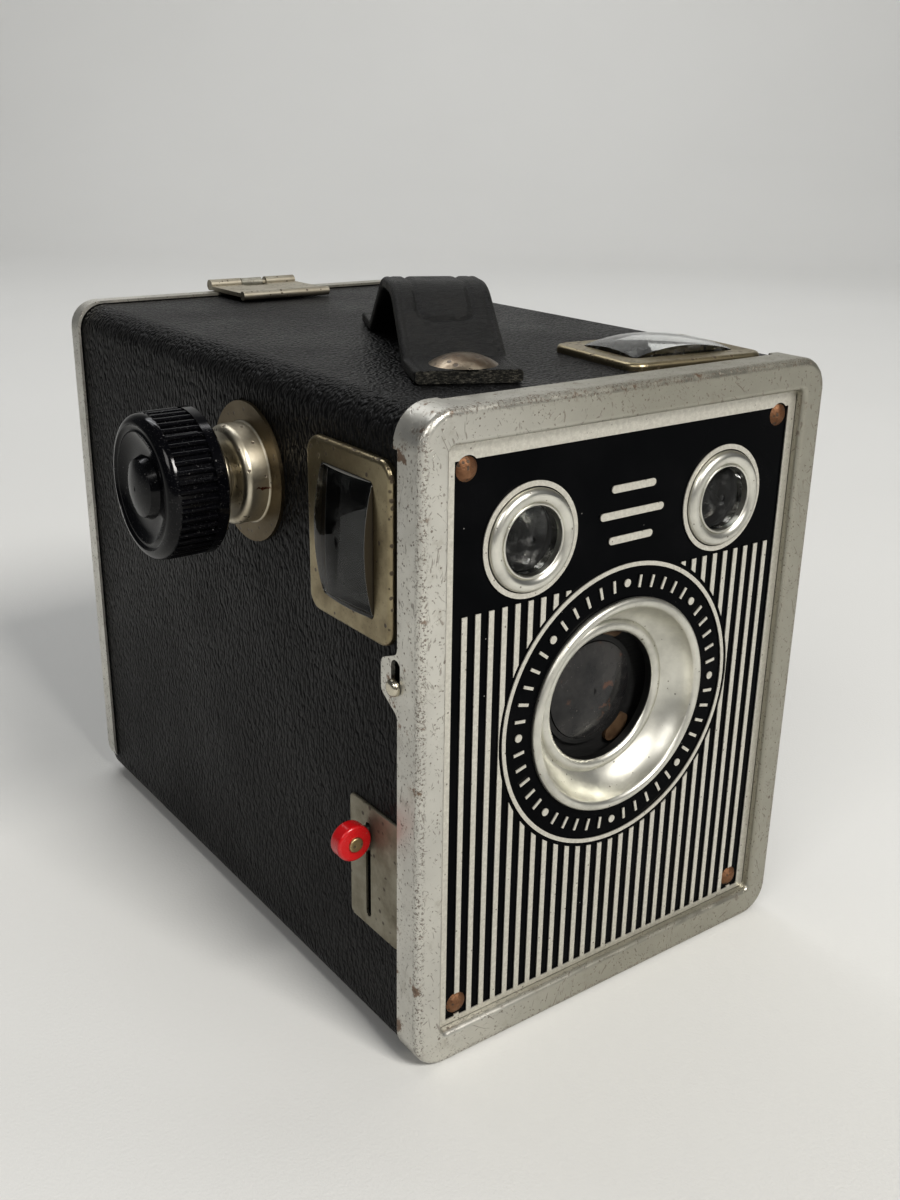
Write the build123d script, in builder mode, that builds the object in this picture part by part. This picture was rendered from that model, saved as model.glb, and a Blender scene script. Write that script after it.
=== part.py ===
"""Box camera for 120 roll film: leatherette-covered steel box, pressed metal front and hinged back.

Units are millimetres. X runs to the right of someone facing the front, Y from front to back,
Z up. The origin is the centre of the base, on the surface that the camera stands on.
"""

import os
from math import cos, radians, sin

from build123d import *

os.makedirs("parts", exist_ok=True)

# Overall size: the front bezel's outline and the length from bezel face to back door
width = 80.0
height = 104.0
depth = 122.0
front = -depth / 2
back = depth / 2

# Wall of the box: steel shell with leatherette glued over it; the metal front laps over both
lap = 0.7
shell_wall = 0.8
shell_width = width - 2.6
shell_height = height - 2.0
shell_low = lap
shell_front = front + 1.0
shell_back = back - 2.4
cover_width = width - 2 * lap
cover_top = height - lap
cover_radius = 4.8
shell_radius = cover_radius - 0.6
wall_out = cover_width / 2
wall_in = shell_width / 2 - shell_wall
floor_in = shell_low + shell_wall
roof_in = shell_low + shell_height - shell_wall

# Front bezel
bezel_sheet = 0.8
bezel_flange = 5.5
bezel_radius = cover_radius + lap
open_half = 35.2
open_low = 5.5
open_high = 98.8
lip_depth = 2.0

# Face plate, counted back from the bezel's face
plate_face = front + lip_depth
plate_thick = 0.8
relief = 0.3
rib_count = 27
rib_pitch = 2.404
rib_width = 0.95
rib_low = 6.5
rib_high = 73.8
black_half = 33.4
black_high = 96.3

# Optical axes
lens_z = 52.0
finder_x = 19.6
finder_z = 83.0
lens_ring_radius = 18.0
lens_hole_radius = 11.0
line_radius = 23.8
lens_radius = 8.4
stop_radius = 4.2

# Finder windows in the walls: long and short side of the frame, and its opening
frame_long = 26.9
frame_short = 22.0
frame_high = 1.2
pane_long = 20.1
pane_short = 13.8
glass_edge = 1.1
glass_bulge = 3.2
glass_rim = 1.1

# Shutter release: a flat lever on a rivet, worked by a red button in a slot in the side
lever_x = -12.0
lever_z = 29.7
button_x = -42.95
button_radius = 2.95
button_z = 36.3
lever_y = front + 13.4
lever_thick = 0.8
lever_travel = 24.0
disc_x = -13.0
disc_z = 44.0
disc_radius = 22.0
disc_ratio = 3.0

# Winding knob and spools, all on axes along X
wind_y = front + 48.5
wind_z = 85.5
knob_back = -48.4
knob_length = 9.6
knob_radius = 11.5
shaft_radius = 2.5
supply_z = height - wind_z
spool_radius = 12.4
spool_half = 32.7

# Film carrier that slides in from the back
side_in = 35.0
side_thick = 0.8
gate_width = 56.0
gate_height = 80.0
gate_y = front + 113.4
cone_y = front + 33.8
cone_mouth = 12.0
cone_wall = 0.7
roller_radius = 3.0
roller_y = front + 111.5
roller_offset = 45.4

# Back door, its hinge at the bottom and the clasp on its top edge
door_gap = 0.2
door_flange = 4.5
door_sheet = 0.8
hinge_y = back - 1.9
hinge_z = 2.1
hinge_half = 18.0
knuckle_radius = 1.8
knuckle_room = hinge_z + knuckle_radius + 0.4
clasp_y = back - 0.4
clasp_z = height + 1.15
clasp_x = 0.7
clasp_width = 20.0

# Carrying strap, riveted to the top at both ends and bowed up between
strap_turn = 25.5
strap_width = 16.0
strap_thick = 2.1
strap_end_x = -21.7
strap_end_y = front + 14.2
strap_span = 60.0
strap_rivet_inset = 4.8
strap_rise = 9.2
rivet_head = 5.1
rivet_dome = 1.6

fit = 0.05


def upright(y):
    """Plane facing the front at depth y: sketch x is X, sketch y is Z, extrusions run forwards."""
    return Plane.XZ.offset(-y)


def save(piece, name):
    """Labels the finished piece and writes its own STEP file."""
    piece.part.label = name
    export_step(piece.part, f"parts/{name}.step")


top_window = Plane(
    origin=(19.2, front + 17.9, cover_top),
    x_dir=(cos(radians(6)), -sin(radians(6)), 0),
    z_dir=(0, 0, 1),
)
side_window = Plane(origin=(-wall_out, front + 17.5, 82.55), x_dir=(0, 0, 1), z_dir=(-1, 0, 0))
windows = {"top": top_window, "side": side_window}

strap_along = (sin(radians(strap_turn)), cos(radians(strap_turn)))
strap_rivets_at = [
    (strap_end_x + s * strap_along[0], strap_end_y + s * strap_along[1])
    for s in (strap_rivet_inset, strap_span - strap_rivet_inset)
]
time_slot_y = front + 5.9
time_stud_z = 63.9
time_travel = 3.0
slot_y = lever_y + lever_thick / 2

# ---------------------------------------------------------------------------------------------
# The box
# ---------------------------------------------------------------------------------------------

# Everything that is cut through the covering and the shell alike
with BuildPart() as wall_openings:
    for window in windows.values():
        with BuildSketch(window.offset(2)):
            Rectangle(pane_long + 2.5, pane_short + 2.6)
        extrude(amount=-5)
    with BuildSketch(Plane.YZ.offset(-width / 2 - 1)):
        with Locations((wind_y, wind_z)):
            Circle(5.1)
        with Locations((slot_y, 29.9)):
            Rectangle(1.6, 18.0)
        with Locations((time_slot_y, time_stud_z + time_travel / 2)):
            SlotOverall(5.2, 2.2, rotation=90)
    extrude(amount=5)
    with BuildSketch(Plane.XY.offset(roof_in - 1)):
        with Locations(*strap_rivets_at):
            Circle(1.55)
    extrude(amount=4)
    with BuildSketch(Plane.XY.offset(-1)):
        with Locations((0, hinge_y)):
            Rectangle(2 * hinge_half + 1.2, 4.4)
    extrude(amount=1 + knuckle_room)

with BuildPart() as body_shell:
    with BuildSketch(upright(shell_back)):
        with Locations((0, shell_low + shell_height / 2)):
            RectangleRounded(shell_width, shell_height, shell_radius)
            RectangleRounded(
                shell_width - 2 * shell_wall,
                shell_height - 2 * shell_wall,
                shell_radius - shell_wall,
                mode=Mode.SUBTRACT,
            )
    extrude(amount=shell_back - shell_front)
    add(wall_openings.part, mode=Mode.SUBTRACT)
save(body_shell, "body_shell")

leaf_depth = 12.0
with BuildPart() as body_covering:
    with BuildSketch(upright(shell_back)):
        with Locations((0, cover_top / 2)):
            RectangleRounded(cover_width, cover_top, cover_radius)
        with Locations((0, shell_low + shell_height / 2)):
            RectangleRounded(shell_width, shell_height, shell_radius, mode=Mode.SUBTRACT)
    extrude(amount=shell_back - front - bezel_flange - 0.1)
    # Under the bezel's flange the covering has no bottom, because the flange lies on the shell
    with BuildSketch(upright(front + bezel_flange + 0.1)):
        with Locations((0, (cover_top + lap) / 2)):
            RectangleRounded(cover_width, cover_top - lap, cover_radius)
        with Locations((0, shell_low + shell_height / 2)):
            RectangleRounded(shell_width, shell_height, shell_radius, mode=Mode.SUBTRACT)
    extrude(amount=front + bezel_flange + 0.1 - shell_front)
    add(wall_openings.part, mode=Mode.SUBTRACT)
    # Rebate for the hinge leaf
    with BuildSketch(Plane.XY.offset(-1)):
        with Locations((0, hinge_y - leaf_depth / 2)):
            Rectangle(2 * hinge_half + 0.4, leaf_depth + 0.2)
    extrude(amount=1 + lap, mode=Mode.SUBTRACT)
save(body_covering, "body_covering")

# ---------------------------------------------------------------------------------------------
# Metal front
# ---------------------------------------------------------------------------------------------

open_height = open_high - open_low
open_mid = (open_high + open_low) / 2
tab_root = front + bezel_flange
tab_end = front + 9.6
with BuildPart() as front_bezel:
    with BuildSketch(upright(front + bezel_flange)):
        with Locations((0, height / 2)):
            RectangleRounded(width, height, bezel_radius)
    extrude(amount=bezel_flange)
    fillet(front_bezel.faces().sort_by(Axis.Y)[0].outer_wire().edges(), radius=1.1)
    with BuildSketch(upright(front + bezel_flange)):
        with Locations((0, height / 2)):
            RectangleRounded(cover_width, height - 2 * lap, bezel_radius - lap)
    extrude(amount=bezel_flange - bezel_sheet, mode=Mode.SUBTRACT)
    # Frame opening, with the sheet turned back round it as a lip
    with BuildSketch(upright(front + lip_depth)):
        with Locations((0, open_mid)):
            RectangleRounded(2 * open_half + 1.6, open_height + 1.6, 1.8)
    extrude(amount=lip_depth - bezel_sheet)
    with BuildSketch(upright(front + lip_depth)):
        with Locations((0, open_mid)):
            RectangleRounded(2 * open_half, open_height, 1.0)
    extrude(amount=lip_depth, mode=Mode.SUBTRACT)
    fillet(front_bezel.faces().sort_by(Axis.Y)[0].inner_wires()[0].edges(), radius=0.9)
    # Longer ears where the flange turns the top corners
    with BuildSketch(upright(front + bezel_flange + 1.0)):
        with Locations((0, height / 2)):
            RectangleRounded(width, height, bezel_radius)
            RectangleRounded(cover_width, height - 2 * lap, bezel_radius - lap, mode=Mode.SUBTRACT)
        with Locations((0, height / 2 - 6)):
            Rectangle(2 * width, height, mode=Mode.SUBTRACT)
        with Locations((0, height)):
            Rectangle(width - 2 * bezel_radius - 3, 20, mode=Mode.SUBTRACT)
    extrude(amount=1.0)
    # Tab for the time stud, on the left flange
    with BuildSketch(Plane.YZ.offset(-width / 2)):
        with BuildLine():
            FilletPolyline(
                (tab_root, 56.5),
                (tab_root, 59.5),
                (tab_end, 62.2),
                (tab_end, 67.2),
                (tab_root, 68.9),
                (tab_root, 71.0),
                radius=1.3,
            )
            Polyline((tab_root, 71.0), (tab_root - 0.5, 71.0), (tab_root - 0.5, 56.5), (tab_root, 56.5))
        make_face()
    extrude(amount=lap)
    with BuildSketch(Plane.YZ.offset(-width / 2 - 1)):
        with Locations((time_slot_y, time_stud_z + time_travel / 2)):
            SlotOverall(time_travel + 2.2, 2.2, rotation=90)
    extrude(amount=3, mode=Mode.SUBTRACT)
save(front_bezel, "front_bezel")

pin_places = [(x, z) for x in (-31.25, 31.25) for z in (8.8, 95.0)]
with BuildPart() as face_plate:
    with BuildSketch(upright(plate_face + plate_thick)):
        with Locations((0, open_mid)):
            RectangleRounded(2 * open_half + 2.4, open_height + 2.4, 2.0)
    extrude(amount=plate_thick)
    # Bright parts of the pressing stand above the black enamel
    with BuildSketch(upright(plate_face)):
        with Locations((0, open_mid)):
            Rectangle(2 * open_half - 0.2, open_height - 0.2)
        with Locations((0, (rib_low + black_high) / 2)):
            Rectangle(2 * black_half, black_high - rib_low, mode=Mode.SUBTRACT)
        with Locations((0, (rib_low + rib_high) / 2)):
            with GridLocations(rib_pitch, 0, rib_count, 1):
                Rectangle(rib_width, rib_high - rib_low)
        with Locations((0, lens_z)):
            Circle(line_radius + 0.6, mode=Mode.SUBTRACT)
            Circle(line_radius)
            Circle(line_radius - 0.7, mode=Mode.SUBTRACT)
            with PolarLocations(20.6, 8):
                Circle(0.65)
            # Plain ticks between the dots
            for turn in range(8):
                with PolarLocations(20.6, 5, 45 * turn + 7.5, 30.0, endpoint=True):
                    Rectangle(2.0, 0.5)
        with Locations(*pin_places):
            Circle(1.95, mode=Mode.SUBTRACT)
        # Line round each finder window
        with Locations((-finder_x, finder_z), (finder_x, finder_z)):
            Circle(8.7)
            Circle(7.9, mode=Mode.SUBTRACT)
        # Plain bars between the finder windows
        for bar_z, bar_length in ((88.0, 9.0), (84.0, 13.0), (80.0, 9.0)):
            with Locations((0, bar_z)):
                SlotOverall(bar_length, 1.2)
    extrude(amount=relief)
    with BuildSketch(upright(plate_face + plate_thick + 1)):
        with Locations((0, lens_z)):
            Circle(17.05)
        with Locations((-finder_x, finder_z), (finder_x, finder_z)):
            Circle(7.5)
        with Locations(*pin_places):
            Circle(1.0)
    extrude(amount=4, mode=Mode.SUBTRACT)
save(face_plate, "face_plate")

# Inner frame behind the face plate, which the pins are riveted into
with BuildPart() as front_frame:
    with BuildSketch(upright(plate_face + plate_thick + 0.8)):
        with Locations((0, (floor_in + roof_in) / 2)):
            RectangleRounded(2 * wall_in - 0.2, roof_in - floor_in - 0.2, shell_radius - shell_wall)
            Rectangle(56.0, 80.2, mode=Mode.SUBTRACT)
        with Locations(*pin_places):
            Circle(1.0, mode=Mode.SUBTRACT)
    extrude(amount=0.8)
save(front_frame, "front_frame")

# Four domed pins that hold the face plate, in one node as identical fasteners
with BuildPart() as face_pins:
    for pin_x, pin_z in pin_places:
        with BuildSketch(Plane.YZ.offset(pin_x)):
            with BuildLine():
                Line((plate_face - 0.8, pin_z), (plate_face + 3.0, pin_z))
                Line((plate_face + 3.0, pin_z), (plate_face + 3.0, pin_z + 0.95))
                Line((plate_face + 3.0, pin_z + 0.95), (plate_face, pin_z + 0.95))
                Line((plate_face, pin_z + 0.95), (plate_face, pin_z + 1.8))
                TangentArc((plate_face - 0.8, pin_z), (plate_face, pin_z + 1.8), tangent=(0, 1))
            make_face()
        revolve(axis=Axis((pin_x, 0, pin_z), (0, 1, 0)))
save(face_pins, "face_pins")

# Dished ring round the lens opening: rolled rim, concave cone, inner bead, short tube
with BuildPart() as lens_ring:
    with BuildSketch(Plane.YZ):
        with BuildLine():
            rim = (plate_face, lens_z + lens_ring_radius)
            crest = (front + 0.95, lens_z + 17.3)
            lip = (front + 1.5, lens_z + 16.4)
            foot = (front + 5.8, lens_z + 13.1)
            bead = (front + 5.2, lens_z + 12.1)
            mouth = (front + 6.0, lens_z + lens_hole_radius)
            ThreePointArc(rim, (front + 1.25, lens_z + 17.9), crest)
            ThreePointArc(crest, (front + 1.05, lens_z + 16.8), lip)
            ThreePointArc(lip, (front + 4.1, lens_z + 15.1), foot)
            ThreePointArc(foot, (front + 5.4, lens_z + 12.7), bead)
            ThreePointArc(bead, (front + 5.4, lens_z + 11.4), mouth)
            Polyline(
                mouth,
                (front + 7.2, lens_z + lens_hole_radius),
                (front + 7.2, lens_z + 11.7),
                (front + 6.7, lens_z + 12.2),
                (front + 6.7, lens_z + 13.9),
                (front + 4.1, lens_z + 16.3),
                (front + 3.4, lens_z + 17.0),
                (plate_face, lens_z + 17.0),
                rim,
            )
        make_face()
    revolve(axis=Axis((0, 0, lens_z), (0, 1, 0)))
save(lens_ring, "lens_ring")

for side, window_x in (("left", -finder_x), ("right", finder_x)):
    # Turned ring round the finder's front window
    with BuildPart() as finder_ring:
        with BuildSketch(Plane.YZ.offset(window_x)):
            with BuildLine():
                rim = (plate_face, finder_z + 7.7)
                crest = (front + 0.75, finder_z + 6.9)
                slope = (front + 1.25, finder_z + 5.6)
                bead = (front + 1.25, finder_z + 5.2)
                ThreePointArc(rim, (front + 1.2, finder_z + 7.55), crest)
                ThreePointArc(crest, (front + 0.8, finder_z + 6.2), slope)
                ThreePointArc(slope, (front + 1.0, finder_z + 5.4), bead)
                Polyline(
                    bead,
                    (front + 4.2, finder_z + 5.2),
                    (front + 4.2, finder_z + 7.3),
                    (plate_face, finder_z + 7.45),
                    rim,
                )
            make_face()
        revolve(axis=Axis((window_x, 0, finder_z), (0, 1, 0)))
    save(finder_ring, f"finder_ring_{side}")

    with BuildPart() as finder_objective:
        with BuildSketch(Plane.YZ.offset(window_x)):
            with BuildLine():
                Polyline(
                    (front + 1.6, finder_z),
                    (front + 5.45, finder_z),
                    (front + 5.45, finder_z + 6.2),
                    (front + 4.25, finder_z + 6.2),
                    (front + 4.25, finder_z + 5.1),
                    (front + 2.1, finder_z + 5.1),
                )
                TangentArc((front + 1.6, finder_z), (front + 2.1, finder_z + 5.1), tangent=(0, 1))
            make_face()
        revolve(axis=Axis((window_x, 0, finder_z), (0, 1, 0)))
    save(finder_objective, f"finder_objective_{side}")

# ---------------------------------------------------------------------------------------------
# Lens and shutter
# ---------------------------------------------------------------------------------------------

board_low = 4.8
board_high = 69.5
board_mid = (board_low + board_high) / 2
lens_board_y = front + 9.6
with BuildPart() as lens_board:
    with BuildSketch(upright(lens_board_y + 0.8)):
        with Locations((0, board_mid)):
            Rectangle(2 * wall_in, board_high - board_low)
        with Locations((0, lens_z)):
            Circle(stop_radius, mode=Mode.SUBTRACT)
    extrude(amount=0.8)
save(lens_board, "lens_board")

with BuildPart() as taking_lens:
    with BuildSketch(Plane.YZ):
        with BuildLine():
            outer_rim = (front + 8.6, lens_z + lens_radius)
            inner_rim = (front + 9.5, lens_z + lens_radius)
            TangentArc((front + 7.7, lens_z), outer_rim, tangent=(0, 1))
            Line(outer_rim, inner_rim)
            TangentArc((front + 9.1, lens_z), inner_rim, tangent=(0, 1))
            Line((front + 9.1, lens_z), (front + 7.7, lens_z))
        make_face()
    revolve(axis=Axis((0, 0, lens_z), (0, 1, 0)))
save(taking_lens, "taking_lens")

# Brass ring with three lugs that clamps the lens to its board
with BuildPart() as lens_clip:
    with BuildSketch(upright(lens_board_y)):
        with Locations((0, lens_z)):
            Circle(9.4)
            with PolarLocations(10.9, 3, -52):
                Ellipse(1.7, 2.8)
            Circle(lens_radius + 0.1, mode=Mode.SUBTRACT)
    extrude(amount=0.8)
save(lens_clip, "lens_clip")

board_y = front + 15.5
with BuildPart() as shutter_board:
    with BuildSketch(upright(board_y + 1.0)):
        with Locations((0, board_mid)):
            Rectangle(2 * wall_in, board_high - board_low)
        with Locations((0, lens_z)):
            Circle(6.0, mode=Mode.SUBTRACT)
    extrude(amount=1.0)
save(shutter_board, "shutter_board")

# Rotary disc: its hole stands beside the lens at rest and crosses it halfway through its turn
disc_y = front + 12.0
hole_reach = ((0 - disc_x) ** 2 + (lens_z - disc_z) ** 2) ** 0.5
with BuildPart() as shutter_disc:
    with BuildSketch(upright(disc_y + 0.5)):
        with Locations((disc_x, disc_z)):
            Circle(disc_radius)
            Circle(1.5 + fit, mode=Mode.SUBTRACT)
            with PolarLocations(hole_reach, 1, 31.6 + lever_travel * disc_ratio / 2):
                Circle(5.0, mode=Mode.SUBTRACT)
    extrude(amount=0.5)
save(shutter_disc, "shutter_disc")

lever_length = ((lever_x - button_x) ** 2 + (button_z - lever_z) ** 2) ** 0.5
lever_plane = Plane(
    origin=(lever_x, lever_y + lever_thick, lever_z),
    x_dir=(button_x - lever_x, 0, button_z - lever_z),
    z_dir=(0, -1, 0),
)
with BuildPart() as release_lever:
    with BuildSketch(lever_plane):
        Circle(4.2)
        with Locations((lever_length / 2, 0)):
            Rectangle(lever_length, 4.0)
        with Locations((lever_length, 0)):
            Circle(2.0)
            Circle(0.7, mode=Mode.SUBTRACT)
        with Locations((-4.5, 0)):
            Rectangle(9.0, 3.6)
        with Locations((-9.0, 0)):
            Circle(1.8)
            Circle(0.5, mode=Mode.SUBTRACT)
        Circle(1.5 + fit, mode=Mode.SUBTRACT)
    extrude(amount=lever_thick)
save(release_lever, "release_lever")

button_plane = Plane(origin=(button_x, 0, button_z), z_dir=(0, -1, 0), x_dir=(1, 0, 0))
with BuildPart() as release_button:
    with BuildSketch(button_plane.offset(-front - 14.9)):
        Circle(button_radius)
        Circle(0.7, mode=Mode.SUBTRACT)
    extrude(amount=2.7)
    fillet(release_button.edges().filter_by(GeomType.CIRCLE).group_by(SortBy.RADIUS)[-1], radius=0.5)
    # Slot that the end of the lever is set in
    with BuildSketch(lever_plane.offset(-0.02)):
        with Locations((lever_length / 2, 0)):
            Rectangle(lever_length, 4.04)
        with Locations((lever_length, 0)):
            Circle(2.02)
    extrude(amount=lever_thick + 0.04, mode=Mode.SUBTRACT)
save(release_button, "release_button")

with BuildPart() as button_rivet:
    with BuildSketch(button_plane.offset(-front - 15.2)):
        Circle(1.2)
    extrude(amount=0.3)
    with BuildSketch(button_plane.offset(-front - 15.0)):
        Circle(0.65)
    extrude(amount=3.0)
    with BuildSketch(button_plane.offset(-front - 12.2)):
        Circle(1.2)
    extrude(amount=0.4)
    fillet(button_rivet.edges().group_by(Axis.Y)[0], radius=0.25)
save(button_rivet, "button_rivet")

# Rivets that the lever and the disc turn on, each with its spacer against the shutter board
with BuildPart() as shutter_pivots:
    for pivot_x, pivot_z, seat in (
        (lever_x, lever_z, lever_y),
        (disc_x, disc_z, disc_y),
    ):
        thick = lever_thick if seat == lever_y else 0.5
        with BuildSketch(upright(board_y)):
            with Locations((pivot_x, pivot_z)):
                Circle(2.3)
        extrude(amount=board_y - seat - thick - 0.1)
        with BuildSketch(upright(board_y)):
            with Locations((pivot_x, pivot_z)):
                Circle(1.5)
        extrude(amount=board_y - seat + 0.3)
        with BuildSketch(upright(seat - 0.1)):
            with Locations((pivot_x, pivot_z)):
                Circle(2.6)
        extrude(amount=0.4)
save(shutter_pivots, "shutter_pivots")

# Return spring: a coil round the lever's spacer, between lever and board
coil_radius = 3.0
with BuildPart() as lever_spring:
    with BuildLine() as coil:
        Helix(
            pitch=0.5,
            height=0.6,
            radius=coil_radius,
            center=(lever_x, board_y - 0.3, lever_z),
            direction=(0, -1, 0),
        )
    with BuildSketch(Plane(origin=coil.line @ 0, z_dir=coil.line % 0)):
        Circle(0.16)
    sweep()
save(lever_spring, "lever_spring")

plate_raise = 0.4
with BuildPart() as release_plate:
    with BuildSketch(Plane.YZ.offset(-wall_out - plate_raise)):
        with Locations((front + 12.35, 30.4)):
            RectangleRounded(13.3, 21.8, 1.0)
        with Locations((slot_y, 29.8)):
            SlotOverall(16.8, 1.3, rotation=90, mode=Mode.SUBTRACT)
    extrude(amount=plate_raise)
    fillet(release_plate.faces().sort_by(Axis.X)[0].outer_wire().edges(), radius=0.25)
save(release_plate, "release_plate")

# Stud in the bezel's tab: pushed up, its inner plate holds the shutter open
with BuildPart() as time_slide:
    with BuildSketch(Plane.YZ.offset(-wall_in + 0.5)):
        with Locations((front + 6.0, 62.7)):
            Rectangle(3.4, 8.2)
    extrude(amount=0.6)
    with BuildSketch(Plane.YZ.offset(-width / 2 - 0.3)):
        with Locations((time_slot_y, time_stud_z)):
            Circle(0.8)
    extrude(amount=width / 2 - wall_in + 0.9)
    with BuildSketch(Plane.YZ.offset(-width / 2 - 0.15)):
        with Locations((time_slot_y, time_stud_z)):
            Circle(1.35)
    extrude(amount=-1.0)
    fillet(time_slide.edges().group_by(Axis.X)[0], radius=0.8)
save(time_slide, "time_slide")

# ---------------------------------------------------------------------------------------------
# Two reflecting finders
# ---------------------------------------------------------------------------------------------

for name, window in windows.items():
    with BuildPart() as finder_frame:
        with BuildSketch(window):
            RectangleRounded(frame_long, frame_short, 2.8)
        extrude(amount=frame_high)
        fillet(finder_frame.faces().sort_by(window.location.z_axis)[-1].outer_wire().edges(), 0.7)
        with BuildSketch(window):
            RectangleRounded(pane_long, pane_short, 0.8)
        extrude(amount=frame_high, mode=Mode.SUBTRACT)
    save(finder_frame, f"finder_frame_{name}")

    # Moulded glass: a flat edge held behind the frame and a crown that bulges through it
    corner_reach = ((pane_long / 2) ** 2 + (pane_short / 2) ** 2) ** 0.5
    drop = glass_bulge - glass_rim
    crown_radius = (corner_reach**2 + drop**2) / (2 * drop)
    with BuildPart() as finder_glass:
        with BuildSketch(window):
            RectangleRounded(pane_long - 0.3, pane_short - 0.3, 0.8)
        extrude(amount=glass_bulge + 1)
        with Locations(window.offset(glass_bulge - crown_radius)):
            Sphere(crown_radius, mode=Mode.INTERSECT)
        with BuildSketch(window.offset(-glass_edge)):
            Rectangle(pane_long + 1.9, pane_short + 1.8)
        extrude(amount=glass_edge)
    save(finder_glass, f"finder_glass_{name}")

housing_front = front + 5.5
housing_back = front + 27.5
housing_low = 70.5
tin = 0.5
housings = {
    "top": (finder_x - 11.5, finder_x + 11.5, roof_in - 0.2),
    "side": (-wall_in + 0.2, -9.0, 95.5),
}
for name, (x_low, x_high, z_high) in housings.items():
    with BuildPart() as finder_housing:
        with BuildSketch(upright(housing_back)):
            with Locations(((x_low + x_high) / 2, (housing_low + z_high) / 2)):
                Rectangle(x_high - x_low, z_high - housing_low)
        extrude(amount=housing_back - housing_front)
        # The side towards the window is left open
        open_side = finder_housing.faces().sort_by(windows[name].location.z_axis)[-1]
        offset(amount=-tin, openings=open_side)
        with BuildSketch(upright(housing_front + 1)):
            with Locations((finder_x if name == "top" else -finder_x, finder_z)):
                Circle(5.2)
        extrude(amount=2, mode=Mode.SUBTRACT)
    save(finder_housing, f"finder_housing_{name}")

mirror_y = front + 16.6
mirrors = {
    "top": Plane(origin=(finder_x, mirror_y, finder_z), x_dir=(1, 0, 0), z_dir=(0, -1, 1)),
    "side": Plane(origin=(-finder_x, mirror_y, finder_z), x_dir=(0, 0, 1), z_dir=(-1, -1, 0)),
}
for name, mirror_plane in mirrors.items():
    with BuildPart() as finder_mirror:
        with BuildSketch(mirror_plane):
            Rectangle(21.0, 26.0)
        extrude(amount=-1.0)
    save(finder_mirror, f"finder_mirror_{name}")

# ---------------------------------------------------------------------------------------------
# Winding knob
# ---------------------------------------------------------------------------------------------

wind_axis = Axis((0, wind_y, wind_z), (1, 0, 0))
collar_end = -44.1
with BuildPart() as knob_collar:
    with BuildSketch(Plane.XZ.offset(-wind_y)):
        with BuildLine():
            Polyline(
                (-wall_out, wind_z + 5.1),
                (-wall_out, wind_z + 11.3),
                (-wall_out - 0.6, wind_z + 11.3),
                (-wall_out - 0.6, wind_z + 8.3),
                (-wall_out - 0.9, wind_z + 8.0),
                (-42.9, wind_z + 8.0),
            )
            ThreePointArc(
                (-42.9, wind_z + 8.0), (-43.7, wind_z + 7.7), (collar_end, wind_z + 6.9)
            )
            Polyline(
                (collar_end, wind_z + 6.9),
                (collar_end, wind_z + 3.6 + fit),
                (collar_end + 0.5, wind_z + 3.6 + fit),
                (collar_end + 0.5, wind_z + 5.1),
                (-wall_out, wind_z + 5.1),
            )
        make_face()
    revolve(axis=wind_axis)
save(knob_collar, "knob_collar")

# Sleeve that slides out through the collar with the shaft, to free the spool
sleeve_end = -44.6
sleeve_in = -36.9
with BuildPart() as winding_sleeve:
    with BuildSketch(Plane.YZ.offset(sleeve_end)):
        with Locations((wind_y, wind_z)):
            Circle(3.6)
    extrude(amount=sleeve_in - sleeve_end)
    with BuildSketch(Plane.YZ.offset(sleeve_in - 0.6)):
        with Locations((wind_y, wind_z)):
            Circle(4.7)
    extrude(amount=0.6)
    with BuildSketch(Plane.YZ.offset(sleeve_end - 1)):
        with Locations((wind_y, wind_z)):
            Circle(shaft_radius + fit)
    extrude(amount=20, mode=Mode.SUBTRACT)
save(winding_sleeve, "winding_sleeve")

key_tip = -29.9
shaft_in = -36.2
with BuildPart() as winding_shaft:
    with BuildSketch(Plane.XZ.offset(-wind_y)):
        with BuildLine():
            Polyline(
                (shaft_in, wind_z),
                (shaft_in, wind_z + 3.4),
                (sleeve_in + 0.1, wind_z + 3.4),
                (sleeve_in + 0.1, wind_z + shaft_radius),
                (-44.9, wind_z + shaft_radius),
                (-44.9, wind_z + 4.6),
            )
            ThreePointArc(
                (-44.9, wind_z + 4.6), (-45.5, wind_z + 5.4), (-46.3, wind_z + 4.9)
            )
            Polyline(
                (-46.3, wind_z + 4.9),
                (knob_back, wind_z + 4.9),
                (knob_back, wind_z + shaft_radius),
                (knob_back - 6.0, wind_z + shaft_radius),
                (knob_back - 6.0, wind_z),
                (shaft_in, wind_z),
            )
        make_face()
    revolve(axis=wind_axis)
    # Flat key that drives the spool
    with BuildSketch(Plane.YZ.offset(shaft_in)):
        with Locations((wind_y, wind_z)):
            Rectangle(1.5, 7.6)
    extrude(amount=key_tip - shaft_in)
save(winding_shaft, "winding_shaft")

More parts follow.
